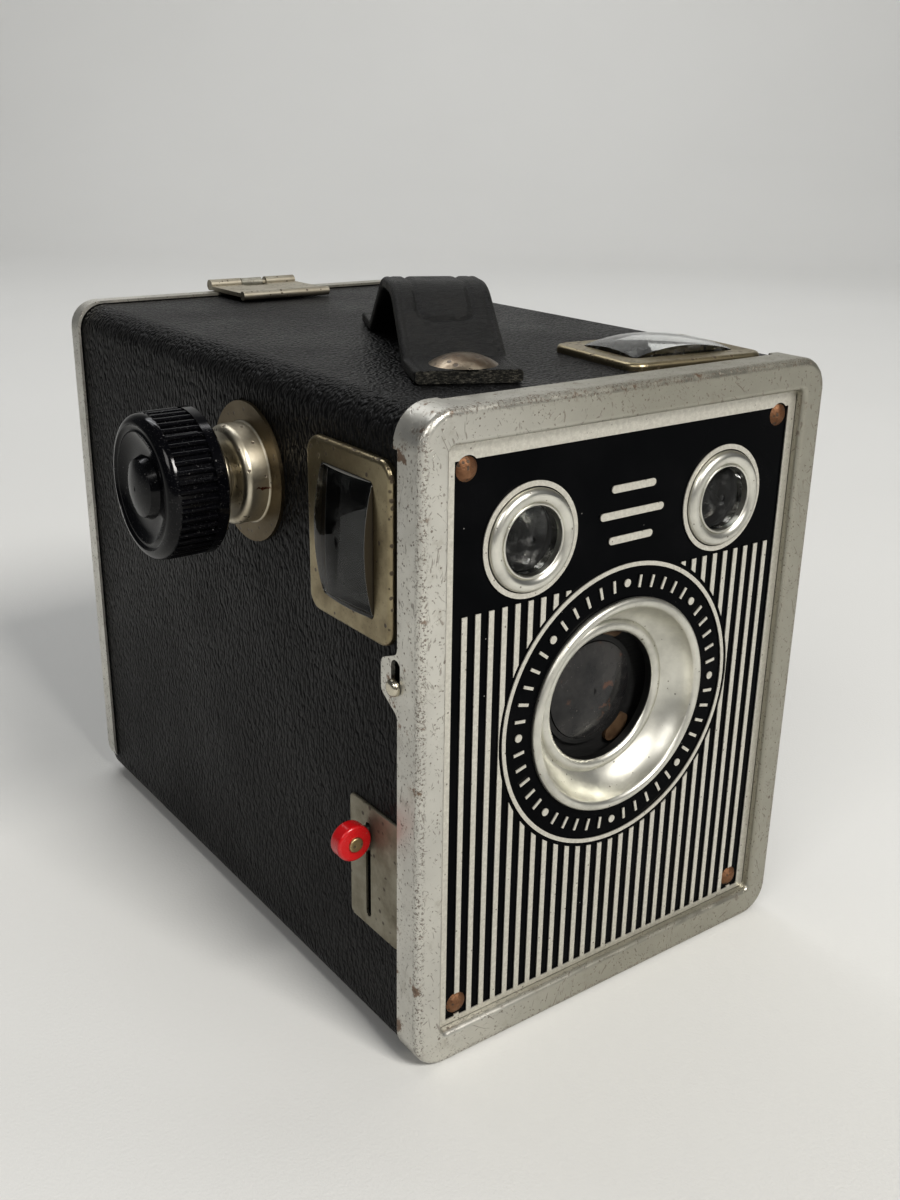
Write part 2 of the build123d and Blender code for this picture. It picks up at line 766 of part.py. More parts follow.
rib_total = 48
rib_start = 2.0
rib_stop = 7.9
with BuildPart() as winding_knob:
    with BuildSketch(Plane.XZ.offset(-wind_y)):
        with BuildLine():
            Polyline(
                (knob_back, wind_z + shaft_radius + 0.02),
                (knob_back, wind_z + knob_radius - 0.4),
                (knob_back - 0.4, wind_z + knob_radius),
                (knob_back - rib_start, wind_z + knob_radius),
                (knob_back - rib_start, wind_z + 10.9),
                (knob_back - rib_stop, wind_z + 10.9),
                (knob_back - rib_stop, wind_z + 11.3),
            )
            ThreePointArc(
                (knob_back - rib_stop, wind_z + 11.3),
                (knob_back - 9.1, wind_z + 10.8),
                (knob_back - knob_length, wind_z + 9.7),
            )
            ThreePointArc(
                (knob_back - knob_length, wind_z + 9.7),
                (knob_back - knob_length + 0.4, wind_z + 9.1),
                (knob_back - knob_length + 0.2, wind_z + 8.5),
            )
            ThreePointArc(
                (knob_back - knob_length + 0.2, wind_z + 8.5),
                (knob_back - knob_length + 0.9, wind_z + 6.9),
                (knob_back - knob_length + 1.1, wind_z + 5.0),
            )
            # Domed boss in the middle of the dished face
            boss_rim = (knob_back - knob_length - 0.1, wind_z + 4.4)
            boss_top = (knob_back - knob_length - 0.9, wind_z)
            Line((knob_back - knob_length + 1.1, wind_z + 5.0), boss_rim)
            TangentArc(boss_top, boss_rim, tangent=(0, 1))
            Polyline(
                boss_top,
                (knob_back - 6.1, wind_z),
                (knob_back - 6.1, wind_z + shaft_radius + 0.02),
                (knob_back, wind_z + shaft_radius + 0.02),
            )
        make_face()
    revolve(axis=wind_axis)
    with BuildSketch(Plane.YZ.offset(knob_back - rib_start + 0.1)):
        with Locations((wind_y, wind_z)):
            with PolarLocations(10.95, rib_total):
                Circle(0.45)
    extrude(amount=rib_start - rib_stop - 0.2)
save(winding_knob, "winding_knob")

# ---------------------------------------------------------------------------------------------
# Film carrier, spool and rollers
# ---------------------------------------------------------------------------------------------

with BuildPart() as take_up_spool:
    with BuildSketch(Plane.YZ.offset(-spool_half)):
        with Locations((wind_y, wind_z)):
            Circle(6.0)
    extrude(amount=2 * spool_half)
    for flange_x in (-spool_half, spool_half - 1.0):
        with BuildSketch(Plane.YZ.offset(flange_x)):
            with Locations((wind_y, wind_z)):
                Circle(spool_radius)
        extrude(amount=1.0)
    # Slot for the winding key, bore for the carrier's pin, and the slit that takes the paper
    with BuildSketch(Plane.YZ.offset(-spool_half)):
        with Locations((wind_y, wind_z)):
            Rectangle(2.2, 8.6)
    extrude(amount=4.5, mode=Mode.SUBTRACT)
    with BuildSketch(Plane.YZ.offset(spool_half)):
        with Locations((wind_y, wind_z)):
            Circle(1.9 + 2 * fit)
    extrude(amount=-6.0, mode=Mode.SUBTRACT)
    with BuildSketch(Plane.XZ.offset(-wind_y - 10)):
        with Locations((0, wind_z)):
            Rectangle(50.0, 1.4)
    extrude(amount=20, mode=Mode.SUBTRACT)
save(take_up_spool, "take_up_spool")

carrier_low = 2.0
carrier_high = 101.4
flange_out = 37.8
carrier_front_y = front + 33.0
supply_y = wind_y
roller_heights = {"top": lens_z + roller_offset, "bottom": lens_z - roller_offset}
for name, plate_x in (("left", -side_in - side_thick), ("right", side_in)):
    with BuildPart() as carrier_side:
        with BuildSketch(Plane.YZ.offset(plate_x)):
            with Locations(
                (
                    (carrier_front_y + gate_y + side_thick) / 2,
                    (carrier_low + carrier_high) / 2,
                )
            ):
                Rectangle(gate_y + side_thick - carrier_front_y, carrier_high - carrier_low)
            with Locations((wind_y, wind_z)):
                Circle(4.4 if name == "left" else 1.92, mode=Mode.SUBTRACT)
            with Locations((supply_y, supply_z)):
                Circle(1.92, mode=Mode.SUBTRACT)
            with Locations(*[(roller_y, z) for z in roller_heights.values()]):
                Circle(1.2 + fit, mode=Mode.SUBTRACT)
        extrude(amount=side_thick)
        # Front and rear edges turned outwards, so that the carrier slides along the shell's walls
        for edge_y in (carrier_front_y, gate_y):
            with BuildSketch(upright(edge_y + side_thick)):
                with Locations(((1 if name == "right" else -1) * (side_in + flange_out) / 2, lens_z)):
                    Rectangle(flange_out - side_in, carrier_high - carrier_low - 9.0)
            extrude(amount=side_thick)
    save(carrier_side, f"carrier_side_{name}")

with BuildPart() as carrier_front:
    with BuildSketch(upright(cone_y)):
        with Locations((0, lens_z)):
            Rectangle(2 * side_in, 44.0)
            Rectangle(cone_mouth, cone_mouth, mode=Mode.SUBTRACT)
    extrude(amount=cone_y - carrier_front_y)
save(carrier_front, "carrier_front")

# Light cone: a folded pyramid from behind the lens to the film gate
with BuildPart() as light_cone:
    for grow, mode in ((2 * cone_wall, Mode.ADD), (0, Mode.SUBTRACT)):
        with BuildSketch(upright(cone_y)):
            with Locations((0, lens_z)):
                Rectangle(cone_mouth + grow, cone_mouth + grow)
        with BuildSketch(upright(gate_y)):
            with Locations((0, lens_z)):
                Rectangle(gate_width + grow, gate_height + grow)
        loft(mode=mode)
save(light_cone, "light_cone")

with BuildPart() as film_gate:
    with BuildSketch(upright(gate_y + side_thick)):
        with Locations((0, lens_z)):
            Rectangle(2 * side_in, 84.6)
            Rectangle(gate_width, gate_height, mode=Mode.SUBTRACT)
    extrude(amount=side_thick)
    # Two polished rails that the film's edges run on
    with BuildSketch(upright(gate_y + side_thick + 0.5)):
        with Locations((-gate_width / 2 - 1.5, lens_z), (gate_width / 2 + 1.5, lens_z)):
            SlotOverall(84.0, 1.6, rotation=90)
    extrude(amount=0.5)
save(film_gate, "film_gate")

for name, roller_z in roller_heights.items():
    with BuildPart() as film_roller:
        with BuildSketch(Plane.YZ.offset(-side_in + 0.8)):
            with Locations((roller_y, roller_z)):
                Circle(roller_radius)
        extrude(amount=2 * side_in - 1.6)
        with BuildSketch(Plane.YZ.offset(-side_in - side_thick - 0.3)):
            with Locations((roller_y, roller_z)):
                Circle(1.2)
        extrude(amount=2 * (side_in + side_thick + 0.3))
    save(film_roller, f"film_roller_{name}")

# Headed pins that the spools turn on: one for the take-up spool, two for the supply spool
spool_pin_places = [(1, wind_z), (1, supply_z), (-1, supply_z)]
with BuildPart() as spool_pins:
    for side, pin_z in spool_pin_places:
        with BuildSketch(Plane.YZ.offset(side * 28.5)):
            with Locations((wind_y, pin_z)):
                Circle(1.9)
        extrude(amount=side * (side_in + side_thick - 28.5))
        with BuildSketch(Plane.YZ.offset(side * (side_in + side_thick))):
            with Locations((wind_y, pin_z)):
                Circle(3.0)
        extrude(amount=side * 0.7)
save(spool_pins, "spool_pins")

# Bowed leaf that presses on the supply spool's flange, riveted to the right side plate
spring_bow = 1.5
with BuildPart() as supply_spring:
    with BuildSketch(Plane.XZ.offset(-supply_y - 9.5)):
        with BuildLine():
            ThreePointArc(
                (side_in, supply_z - 10), (side_in - spring_bow, supply_z), (side_in, supply_z + 10)
            )
            Line((side_in, supply_z + 10), (side_in, supply_z + 9.2))
            ThreePointArc(
                (side_in, supply_z + 9.2),
                (side_in - spring_bow + 0.35, supply_z),
                (side_in, supply_z - 9.2),
            )
            Line((side_in, supply_z - 9.2), (side_in, supply_z - 10))
        make_face()
    extrude(amount=5.0)
save(supply_spring, "supply_spring")

# ---------------------------------------------------------------------------------------------
# Back door, hinge and clasp
# ---------------------------------------------------------------------------------------------

door_low = hinge_z - 0.3
door_radius = 5.2
panel_face = back - 0.6
panel_inside = panel_face - door_sheet
window_at = (20.0, 40.0)
with BuildPart() as back_door:
    # Rim and flange round both sides and the top
    with BuildSketch(upright(back)):
        with Locations((0, (height + door_low) / 2)):
            RectangleRounded(width, height - door_low, door_radius)
    extrude(amount=door_flange)
    fillet(back_door.faces().sort_by(Axis.Y)[-1].outer_wire().edges(), radius=1.2)
    with BuildSketch(upright(panel_inside)):
        with Locations((0, (cover_top + door_gap) / 2)):
            Rectangle(cover_width + 2 * door_gap, cover_top + door_gap)
    extrude(amount=door_flange, mode=Mode.SUBTRACT)
    # Corners of the flange, turned over with the sheet
    with BuildSketch(upright(panel_inside)):
        with Locations((0, (height + door_low) / 2)):
            RectangleRounded(width, height - door_low, door_radius)
        with Locations((0, (cover_top + door_gap) / 2)):
            RectangleRounded(
                cover_width + 2 * door_gap,
                cover_top + door_gap,
                cover_radius + door_gap,
                mode=Mode.SUBTRACT,
            )
        with Locations((0, 0)):
            Rectangle(width - 6, 30.0, mode=Mode.SUBTRACT)
    extrude(amount=door_flange - (back - panel_inside))
    # Sunk field for the leatherette inside the rim
    with BuildSketch(upright(back + 1)):
        with Locations((0, height / 2)):
            RectangleRounded(width - 11.0, height - 11.0, 3.0)
    extrude(amount=1.6, mode=Mode.SUBTRACT)
    # Room for the hinge knuckles
    with BuildSketch(Plane.XY.offset(-1)):
        with Locations((0, back)):
            Rectangle(2 * hinge_half + 1.0, 8.0)
    extrude(amount=1 + knuckle_room, mode=Mode.SUBTRACT)
    # Hole of the film counter window
    with BuildSketch(upright(back + 1)):
        with Locations(window_at):
            Circle(6.3)
    extrude(amount=4, mode=Mode.SUBTRACT)
    # Lug for the clasp's pin on the top flange
    lug_mid = clasp_x - 0.4
    with BuildSketch(Plane.YZ.offset(lug_mid - 2.4)):
        with Locations((clasp_y, clasp_z)):
            Circle(1.05)
        with Locations((clasp_y, (clasp_z + height - 0.4) / 2)):
            Rectangle(1.8, clasp_z - height + 0.4)
        with Locations((clasp_y, clasp_z)):
            Circle(0.5 + fit, mode=Mode.SUBTRACT)
    extrude(amount=4.8)
save(back_door, "back_door")

with BuildPart() as door_covering:
    with BuildSketch(upright(back - 0.1)):
        with Locations((0, height / 2)):
            RectangleRounded(width - 11.4, height - 11.4, 2.8)
        with Locations(window_at):
            Circle(7.3, mode=Mode.SUBTRACT)
    extrude(amount=0.5)
save(door_covering, "door_covering")

with BuildPart() as window_ring:
    with BuildSketch(Plane.YZ.offset(window_at[0])):
        with BuildLine():
            Polyline(
                (panel_face, window_at[1] + 7.1),
                (back - 0.1, window_at[1] + 7.1),
                (back + 0.2, window_at[1] + 6.8),
                (back + 0.2, window_at[1] + 5.6),
                (back - 0.4, window_at[1] + 5.1),
                (back - 1.4, window_at[1] + 5.1),
                (back - 1.4, window_at[1] + 6.2),
                (panel_face, window_at[1] + 6.2),
                close=True,
            )
        make_face()
    revolve(axis=Axis((window_at[0], 0, window_at[1]), (0, 1, 0)))
save(window_ring, "window_ring")

with BuildPart() as red_window:
    with BuildSketch(upright(panel_inside)):
        with Locations(window_at):
            Circle(7.0)
    extrude(amount=0.7)
    with BuildSketch(upright(panel_inside)):
        with Locations(window_at):
            Circle(5.0)
    extrude(amount=-door_sheet)
save(red_window, "red_window")

# Hinge: body leaf with three knuckles, door leaf with two, and one pin
knuckle = 2 * hinge_half / 5
hinge_pin_radius = 0.6
leaves = {
    "hinge_body_leaf": {
        "knuckles": (-2, 0, 2),
        "plate": Plane.XY,
        "centre": (0, hinge_y - leaf_depth / 2),
        "size": (2 * hinge_half, leaf_depth),
        "thick": lap,
    },
    "hinge_door_leaf": {
        "knuckles": (-1, 1),
        "plate": upright(panel_inside),
        "centre": (0, hinge_z + 4.5),
        "size": (3 * knuckle - 0.5, 9.0),
        "thick": 0.5,
    },
}
for name, leaf in leaves.items():
    with BuildPart() as hinge_leaf:
        with BuildSketch(leaf["plate"]):
            with Locations(leaf["centre"]):
                Rectangle(*leaf["size"])
        extrude(amount=leaf["thick"])
        # Cut back between the knuckles, which then take the other leaf's
        with BuildSketch(Plane.YZ.offset(-hinge_half - 1)):
            with Locations((hinge_y, hinge_z)):
                Circle(knuckle_radius + 0.2)
        extrude(amount=2 * hinge_half + 2, mode=Mode.SUBTRACT)
        for place in leaf["knuckles"]:
            with BuildSketch(Plane.YZ.offset((place - 0.5) * knuckle + 0.15)):
                with Locations((hinge_y, hinge_z)):
                    Circle(knuckle_radius)
                if name == "hinge_body_leaf":
                    with Locations((hinge_y - 1.2, lap / 2)):
                        Rectangle(2.4, lap)
                else:
                    with Locations((panel_inside - 0.25, hinge_z + 1.2)):
                        Rectangle(0.5, 2.4)
            extrude(amount=knuckle - 0.3)
        with BuildSketch(Plane.YZ.offset(-hinge_half - 1)):
            with Locations((hinge_y, hinge_z)):
                Circle(hinge_pin_radius + fit)
        extrude(amount=2 * hinge_half + 2, mode=Mode.SUBTRACT)
    save(hinge_leaf, name)

with BuildPart() as hinge_pin:
    with BuildSketch(Plane.YZ.offset(-hinge_half)):
        with Locations((hinge_y, hinge_z)):
            Circle(hinge_pin_radius)
    extrude(amount=2 * hinge_half)
save(hinge_pin, "hinge_pin")

# Clasp: a plate with a rolled front edge, turning in two ears on the door's top edge
clasp_front = back - 15.2
clasp_left = clasp_x - clasp_width / 2
ear_width = 7.0
clasp_low = height + 0.2
with BuildPart() as clasp:
    with BuildSketch(Plane.XY.offset(clasp_low)):
        with Locations((clasp_x, (clasp_front + clasp_y) / 2)):
            Rectangle(clasp_width, clasp_y - clasp_front)
        with Locations((lug_mid, clasp_y)):
            Rectangle(5.4, 7.0, mode=Mode.SUBTRACT)
    extrude(amount=0.8)
    with BuildSketch(Plane.YZ.offset(clasp_left)):
        with Locations((clasp_front, height + 0.5)):
            Circle(0.9)
    extrude(amount=clasp_width)
    for ear_x in (clasp_left, clasp_left + clasp_width - ear_width):
        with BuildSketch(Plane.YZ.offset(ear_x)):
            with Locations((clasp_y, clasp_z)):
                Circle(1.1)
        extrude(amount=ear_width)
    with BuildSketch(Plane.YZ.offset(clasp_left)):
        with Locations((clasp_y, clasp_z)):
            Circle(0.5 + 0.02)
    extrude(amount=clasp_width, mode=Mode.SUBTRACT)
save(clasp, "clasp")

with BuildPart() as clasp_pin:
    with BuildSketch(Plane.YZ.offset(clasp_left)):
        with Locations((clasp_y, clasp_z)):
            Circle(0.5)
    extrude(amount=clasp_width)
save(clasp_pin, "clasp_pin")

catch_y = back - 11.0
with BuildPart() as clasp_catch:
    with BuildSketch(Plane.YZ.offset(clasp_x)):
        with BuildLine():
            Line((catch_y, cover_top), (catch_y, cover_top + 0.6))
            ThreePointArc(
                (catch_y, cover_top + 0.6), (catch_y + 1.2, cover_top + 0.45), (catch_y + 2.2, cover_top)
            )
            Line((catch_y + 2.2, cover_top), (catch_y, cover_top))
        make_face()
    revolve(axis=Axis((clasp_x, catch_y, 0), (0, 0, 1)))
save(clasp_catch, "clasp_catch")

# ---------------------------------------------------------------------------------------------
# Strap
# ---------------------------------------------------------------------------------------------

strap_plane = Plane(
    origin=(strap_end_x, strap_end_y, cover_top),
    x_dir=(strap_along[0], strap_along[1], 0),
    z_dir=(strap_along[1], -strap_along[0], 0),
)
strap_foot = 11.3
strap_shoulder = 25.0
with BuildPart() as strap:
    with BuildSketch(strap_plane.offset(-strap_width / 2)):
        with BuildLine():
            FilletPolyline(
                (0, 0),
                (strap_foot, 0),
                (strap_shoulder, strap_rise),
                (strap_span - strap_shoulder, strap_rise),
                (strap_span - strap_foot, 0),
                (strap_span, 0),
                radius=[4.0, 9.0, 9.0, 4.0],
            )
            offset(amount=strap_thick, side=Side.LEFT)
        make_face()
    extrude(amount=strap_width)
    with Locations(*[(x, y, cover_top) for x, y in strap_rivets_at]):
        Cylinder(1.55, 20, mode=Mode.SUBTRACT)
save(strap, "strap")

strap_top = cover_top + strap_thick
with BuildPart() as strap_rivets:
    for rivet_x, rivet_y in strap_rivets_at:
        with BuildSketch(Plane.XZ.offset(-rivet_y)):
            with BuildLine():
                Polyline(
                    (rivet_x, strap_top + rivet_dome),
                    (rivet_x, roof_in - 1.0),
                    (rivet_x + 3.0, roof_in - 1.0),
                    (rivet_x + 3.0, roof_in - 0.1),
                    (rivet_x + 1.5, roof_in - 0.1),
                    (rivet_x + 1.5, strap_top),
                    (rivet_x + rivet_head, strap_top),
                )
                TangentArc(
                    (rivet_x, strap_top + rivet_dome),
                    (rivet_x + rivet_head, strap_top),
                    tangent=(1, 0),
                )
            make_face()
        revolve(axis=Axis((rivet_x, rivet_y, 0), (0, 0, 1)))
save(strap_rivets, "strap_rivets")
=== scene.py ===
"""Looks of the box camera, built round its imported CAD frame. Lengths are in metres."""

import math

import bmesh
import bpy
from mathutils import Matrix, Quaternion, Vector


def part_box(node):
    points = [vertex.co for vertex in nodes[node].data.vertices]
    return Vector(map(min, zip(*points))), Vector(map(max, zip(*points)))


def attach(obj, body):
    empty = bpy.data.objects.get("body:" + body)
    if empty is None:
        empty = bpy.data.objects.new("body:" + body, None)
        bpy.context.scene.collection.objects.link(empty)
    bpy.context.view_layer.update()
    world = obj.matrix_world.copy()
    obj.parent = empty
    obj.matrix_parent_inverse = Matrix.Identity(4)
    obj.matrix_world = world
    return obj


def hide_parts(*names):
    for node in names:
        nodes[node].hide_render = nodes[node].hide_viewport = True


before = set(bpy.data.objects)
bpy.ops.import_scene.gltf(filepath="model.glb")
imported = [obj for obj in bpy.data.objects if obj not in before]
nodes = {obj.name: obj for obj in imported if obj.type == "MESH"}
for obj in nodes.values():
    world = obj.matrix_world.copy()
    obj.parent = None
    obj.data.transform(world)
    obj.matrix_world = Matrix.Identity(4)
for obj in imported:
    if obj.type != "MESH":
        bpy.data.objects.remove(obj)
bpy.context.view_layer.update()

MM = 0.001
STRAP_HEADING = math.radians(25.5)
BEZEL_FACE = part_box("front_bezel")[0].y
BEZEL_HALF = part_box("front_bezel")[1].x
BEZEL_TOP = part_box("front_bezel")[1].z
PLATE_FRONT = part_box("face_plate")[0].y
# Height of the face plate's raised lines, and width of the flat edge round a window glass
RELIEF = 0.3 * MM
FLAT_EDGE = 1.02 * MM
# Radii inside which the rings are black, and beyond which the lens clip is a bare lug
LENS_BORE = 11.0 * MM
FINDER_BORE = 5.1 * MM
CLIP_RING = 9.7 * MM
# How much longer than wide a scratch is, and the noise level above which it shows
SCRATCH_THIN = 22
SCRATCH_LIMIT = 0.645


def middle(node):
    """Centre of a CAD node's box."""
    low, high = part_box(node)
    return (low + high) / 2


# ---------------------------------------------------------------------------------------------
# Node materials
# ---------------------------------------------------------------------------------------------


class Look:
    """A Principled material with short calls for the few nodes that the looks are made of."""

    def __init__(self, name, color, rough, metallic=0.0, coat=0.0, specular=0.5):
        self.material = bpy.data.materials.new(name)
        self.material.use_nodes = True
        self.tree = self.material.node_tree
        self.shader = self.tree.nodes["Principled BSDF"]
        self.place = self.tree.nodes.new("ShaderNodeTexCoord").outputs["Object"]
        self.normal = None
        self.set(Base_Color=(*color, 1.0), Roughness=rough, Metallic=metallic)
        self.set(Coat_Weight=coat, Specular_IOR_Level=specular)

    def set(self, **values):
        """Puts values on the shader's sockets, named with _ for a space."""
        for name, value in values.items():
            self.put(self.shader.inputs[name.replace("_", " ")], value)

    def put(self, socket, value):
        """Links a node's output to a socket, or writes a number or colour on the socket itself."""
        if isinstance(value, bpy.types.NodeSocket):
            self.tree.links.new(value, socket)
        else:
            socket.default_value = value

    def math(self, operation, a, b=0.0, clamp=False):
        """One arithmetic step on two numbers or node outputs."""
        node = self.tree.nodes.new("ShaderNodeMath")
        node.operation = operation
        node.use_clamp = clamp
        self.put(node.inputs[0], a)
        self.put(node.inputs[1], b)
        return node.outputs[0]

    def axis(self, letter):
        """One coordinate of the point, in the row frame."""
        node = self.tree.nodes.new("ShaderNodeSeparateXYZ")
        self.put(node.inputs[0], self.place)
        return node.outputs[letter]

    def stretched(self, scale, turn=(0, 0, 0), warp=0.0, warp_scale=0.0):
        """Texture place along turned axes, scaled along each of them, and wavered by a noise."""
        node = self.tree.nodes.new("ShaderNodeMapping")
        node.vector_type = "TEXTURE"
        self.put(node.inputs["Scale"], tuple(1 / s for s in scale))
        self.put(node.inputs["Rotation"], turn)
        self.put(node.inputs["Vector"], self.place)
        if not warp:
            return node.outputs[0]
        wave = self.tree.nodes.new("ShaderNodeTexNoise")
        wave.inputs["Scale"].default_value = warp_scale
        self.put(wave.inputs["Vector"], self.place)
        add = self.tree.nodes.new("ShaderNodeVectorMath")
        add.operation = "MULTIPLY_ADD"
        self.put(add.inputs[0], wave.outputs["Color"])
        add.inputs[1].default_value = (warp,) * 3
        self.put(add.inputs[2], node.outputs[0])
        return add.outputs[0]

    def noise(self, scale, detail=2.0, rough=0.5, at=None):
        """Cloudy pattern from 0 to 1, at the point itself or at a texture place."""
        node = self.tree.nodes.new("ShaderNodeTexNoise")
        self.put(node.inputs["Vector"], at or self.place)
        node.inputs["Scale"].default_value = scale
        node.inputs["Detail"].default_value = detail
        node.inputs["Roughness"].default_value = rough
        return node.outputs["Fac"]

    def cells(self, scale, at):
        """Distance to the middle of the nearest of many rounded cells."""
        node = self.tree.nodes.new("ShaderNodeTexVoronoi")
        node.feature = "SMOOTH_F1"
        self.put(node.inputs["Vector"], at)
        node.inputs["Scale"].default_value = scale
        return node.outputs["Distance"]

    def step(self, value, low, high, to_low=0.0, to_high=1.0):
        """Smooth ramp from to_low at low to to_high at high."""
        node = self.tree.nodes.new("ShaderNodeMapRange")
        node.interpolation_type = "SMOOTHSTEP"
        self.put(node.inputs["Value"], value)
        ends = {"From Min": low, "From Max": high, "To Min": to_low, "To Max": to_high}
        for name, number in ends.items():
            node.inputs[name].default_value = number
        return node.outputs["Result"]

    def mix(self, amount, a, b):
        """a where amount is 0 and b where it is 1, for colours."""
        node = self.tree.nodes.new("ShaderNodeMix")
        node.data_type = "RGBA"
        colors = [s for s in node.inputs if s.type == "RGBA"]
        self.put(node.inputs["Factor"], amount)
        for socket, value in zip(colors, (a, b)):
            self.put(socket, (*value, 1.0) if isinstance(value, tuple) else value)
        return next(s for s in node.outputs if s.type == "RGBA")

    def blend(self, amount, a, b):
        """The same for numbers."""
        node = self.tree.nodes.new("ShaderNodeMix")
        self.put(node.inputs["Factor"], amount)
        self.put(node.inputs["A"], a)
        self.put(node.inputs["B"], b)
        return node.outputs["Result"]

    def bump(self, height, depth, strength=1.0):
        """Adds relief on top of what the material already has."""
        node = self.tree.nodes.new("ShaderNodeBump")
        node.inputs["Distance"].default_value = depth
        node.inputs["Strength"].default_value = strength
        self.put(node.inputs["Height"], height)
        if self.normal:
            self.put(node.inputs["Normal"], self.normal)
        self.normal = node.outputs["Normal"]
        self.set(Normal=self.normal)

    def specks(self, scale, size, share):
        """1 in small round spots: size is their reach in cells, share how many cells have one."""
        spot = self.tree.nodes.new("ShaderNodeTexVoronoi")
        self.put(spot.inputs["Vector"], self.place)
        spot.inputs["Scale"].default_value = scale
        chosen = self.tree.nodes.new("ShaderNodeSeparateColor")
        self.put(chosen.inputs[0], spot.outputs["Color"])
        reach = self.math("MULTIPLY", self.step(chosen.outputs[0], 1 - share, 1.0), size)
        near = self.math("SUBTRACT", reach, spot.outputs["Distance"])
        return self.step(near, 0.0, size * 0.35)

    def scratches(self, turn, scale):
        """Fine lines along X, turned about the axes."""
        at = self.stretched((1, SCRATCH_THIN, SCRATCH_THIN), turn=turn, warp=0.4, warp_scale=40)
        lines = self.noise(scale, 2.0, 0.6, at=at)
        return self.step(lines, SCRATCH_LIMIT, SCRATCH_LIMIT + 0.05)

    def radius(self, centre):
        """Distance from an axis along Y through centre."""
        x = self.math("SUBTRACT", self.axis("X"), centre.x)
        z = self.math("SUBTRACT", self.axis("Z"), centre.z)
        squares = self.math("ADD", self.math("MULTIPLY", x, x), self.math("MULTIPLY", z, z))
        return self.math("SQRT", squares)


def leatherette(name):
    """Fine-grained black leatherette with scuffs and dust."""
    look = Look(name, (0.008, 0.008, 0.0085), 0.45, specular=0.18)
    at = look.stretched((1.0, 0.9, 0.42), warp=0.0009, warp_scale=520)
    pebble = look.cells(2100, at)
    fine = look.noise(5200, 2.0, at=at)
    wide = look.noise(34, 3.0)
    scuff = look.step(look.noise(120, 4.0, 0.65), 0.56, 0.72)
    dust = look.specks(520, 0.16, 0.35)
    tone = look.mix(look.step(pebble, 0.2, 0.62), (0.008, 0.008, 0.0085), (0.0012, 0.0012, 0.0014))
    tone = look.mix(look.math("MULTIPLY", scuff, 0.35), tone, (0.018, 0.018, 0.018))
    tone = look.mix(look.math("MULTIPLY", dust, 0.2), tone, (0.1, 0.098, 0.09))
    look.set(Base_Color=tone)
    look.set(Roughness=look.step(wide, 0.3, 0.7, 0.34, 0.46))
    look.bump(look.math("SUBTRACT", 1.0, pebble), 0.0006, 1.0)
    look.bump(fine, 0.00003, 0.6)
    look.bump(wide, 0.0012, 0.25)
    return look.material


def silver_paint(name, edges=True):
    """Aged aluminium-coloured enamel with specks, scratches and rubbed edges, and painted shade."""
    look = Look(name, (0.55, 0.54, 0.5), 0.38, metallic=0.8)
    cloud = look.noise(45, 4.0, 0.6)
    tone = look.mix(look.step(cloud, 0.3, 0.7), (0.55, 0.54, 0.5), (0.68, 0.665, 0.61))
    # Painted shade: the paint is made darker and warmer towards the right, the top and the bottom
    level = look.math("ABSOLUTE", look.math("SUBTRACT", look.axis("Z"), BEZEL_TOP / 2))
    painted_shade_reach = look.math("ADD", look.axis("X"), look.math("MULTIPLY", level, 0.75))
    tone = look.mix(look.step(painted_shade_reach, -0.012, 0.04), tone, (0.36, 0.348, 0.298))
    grime = look.step(look.noise(240, 5.0, 0.7), 0.56, 0.74)
    tone = look.mix(look.math("MULTIPLY", grime, 0.4), tone, (0.28, 0.25, 0.2))
    marks = look.math("MAXIMUM", look.specks(1500, 0.28, 0.4), look.specks(420, 0.16, 0.22))
    lines = look.scratches((0.3, 0.9, 0.2), 110)
    for turn, scale in (((0.1, -0.5, 0.6), 90), ((0.0, 1.4, 0.1), 70)):
        lines = look.math("MAXIMUM", lines, look.scratches(turn, scale))
    marks = look.math("MAXIMUM", marks, look.math("MULTIPLY", lines, 0.7))
    if edges:
        side = look.math("SUBTRACT", look.math("ABSOLUTE", look.axis("X")), BEZEL_HALF)
        over = look.math("SUBTRACT", look.axis("Z"), BEZEL_TOP)
        under = look.math("MULTIPLY", look.axis("Z"), -1.0)
        rim = look.math("MAXIMUM", side, look.math("MAXIMUM", over, under))
        depth = look.math("SUBTRACT", look.axis("Y"), BEZEL_FACE)
        wavy = look.math("ADD", rim, look.math("MULTIPLY", cloud, 0.0009))
        ridge = look.step(wavy, -0.0011, -0.0004)
        ridge = look.math("MULTIPLY", ridge, look.step(depth, 0.0016, 0.0007))
        chips = look.math("MULTIPLY", ridge, look.step(look.noise(2300, 4.0, 0.75), 0.53, 0.58))
        marks = look.math("MAXIMUM", marks, chips)
        rust = look.step(look.noise(230, 5.0, 0.7), 0.585, 0.66)
        rust = look.math("MULTIPLY", look.step(wavy, -0.0016, 0.0001), rust)
        tone = look.mix(look.math("MULTIPLY", rust, 0.85), tone, (0.17, 0.1, 0.06))
    tone = look.mix(look.math("MULTIPLY", marks, 0.8), tone, (0.1, 0.075, 0.055))
    look.set(Base_Color=tone)
    look.set(Roughness=look.step(look.noise(300, 4.0), 0.3, 0.75, 0.3, 0.5))
    look.set(Metallic=look.math("SUBTRACT", 0.8, look.math("MULTIPLY", marks, 0.6), clamp=True))
    look.bump(look.noise(900, 2.0), 0.00002, 0.7)
    look.bump(marks, -0.00004, 0.8)
    return look.material


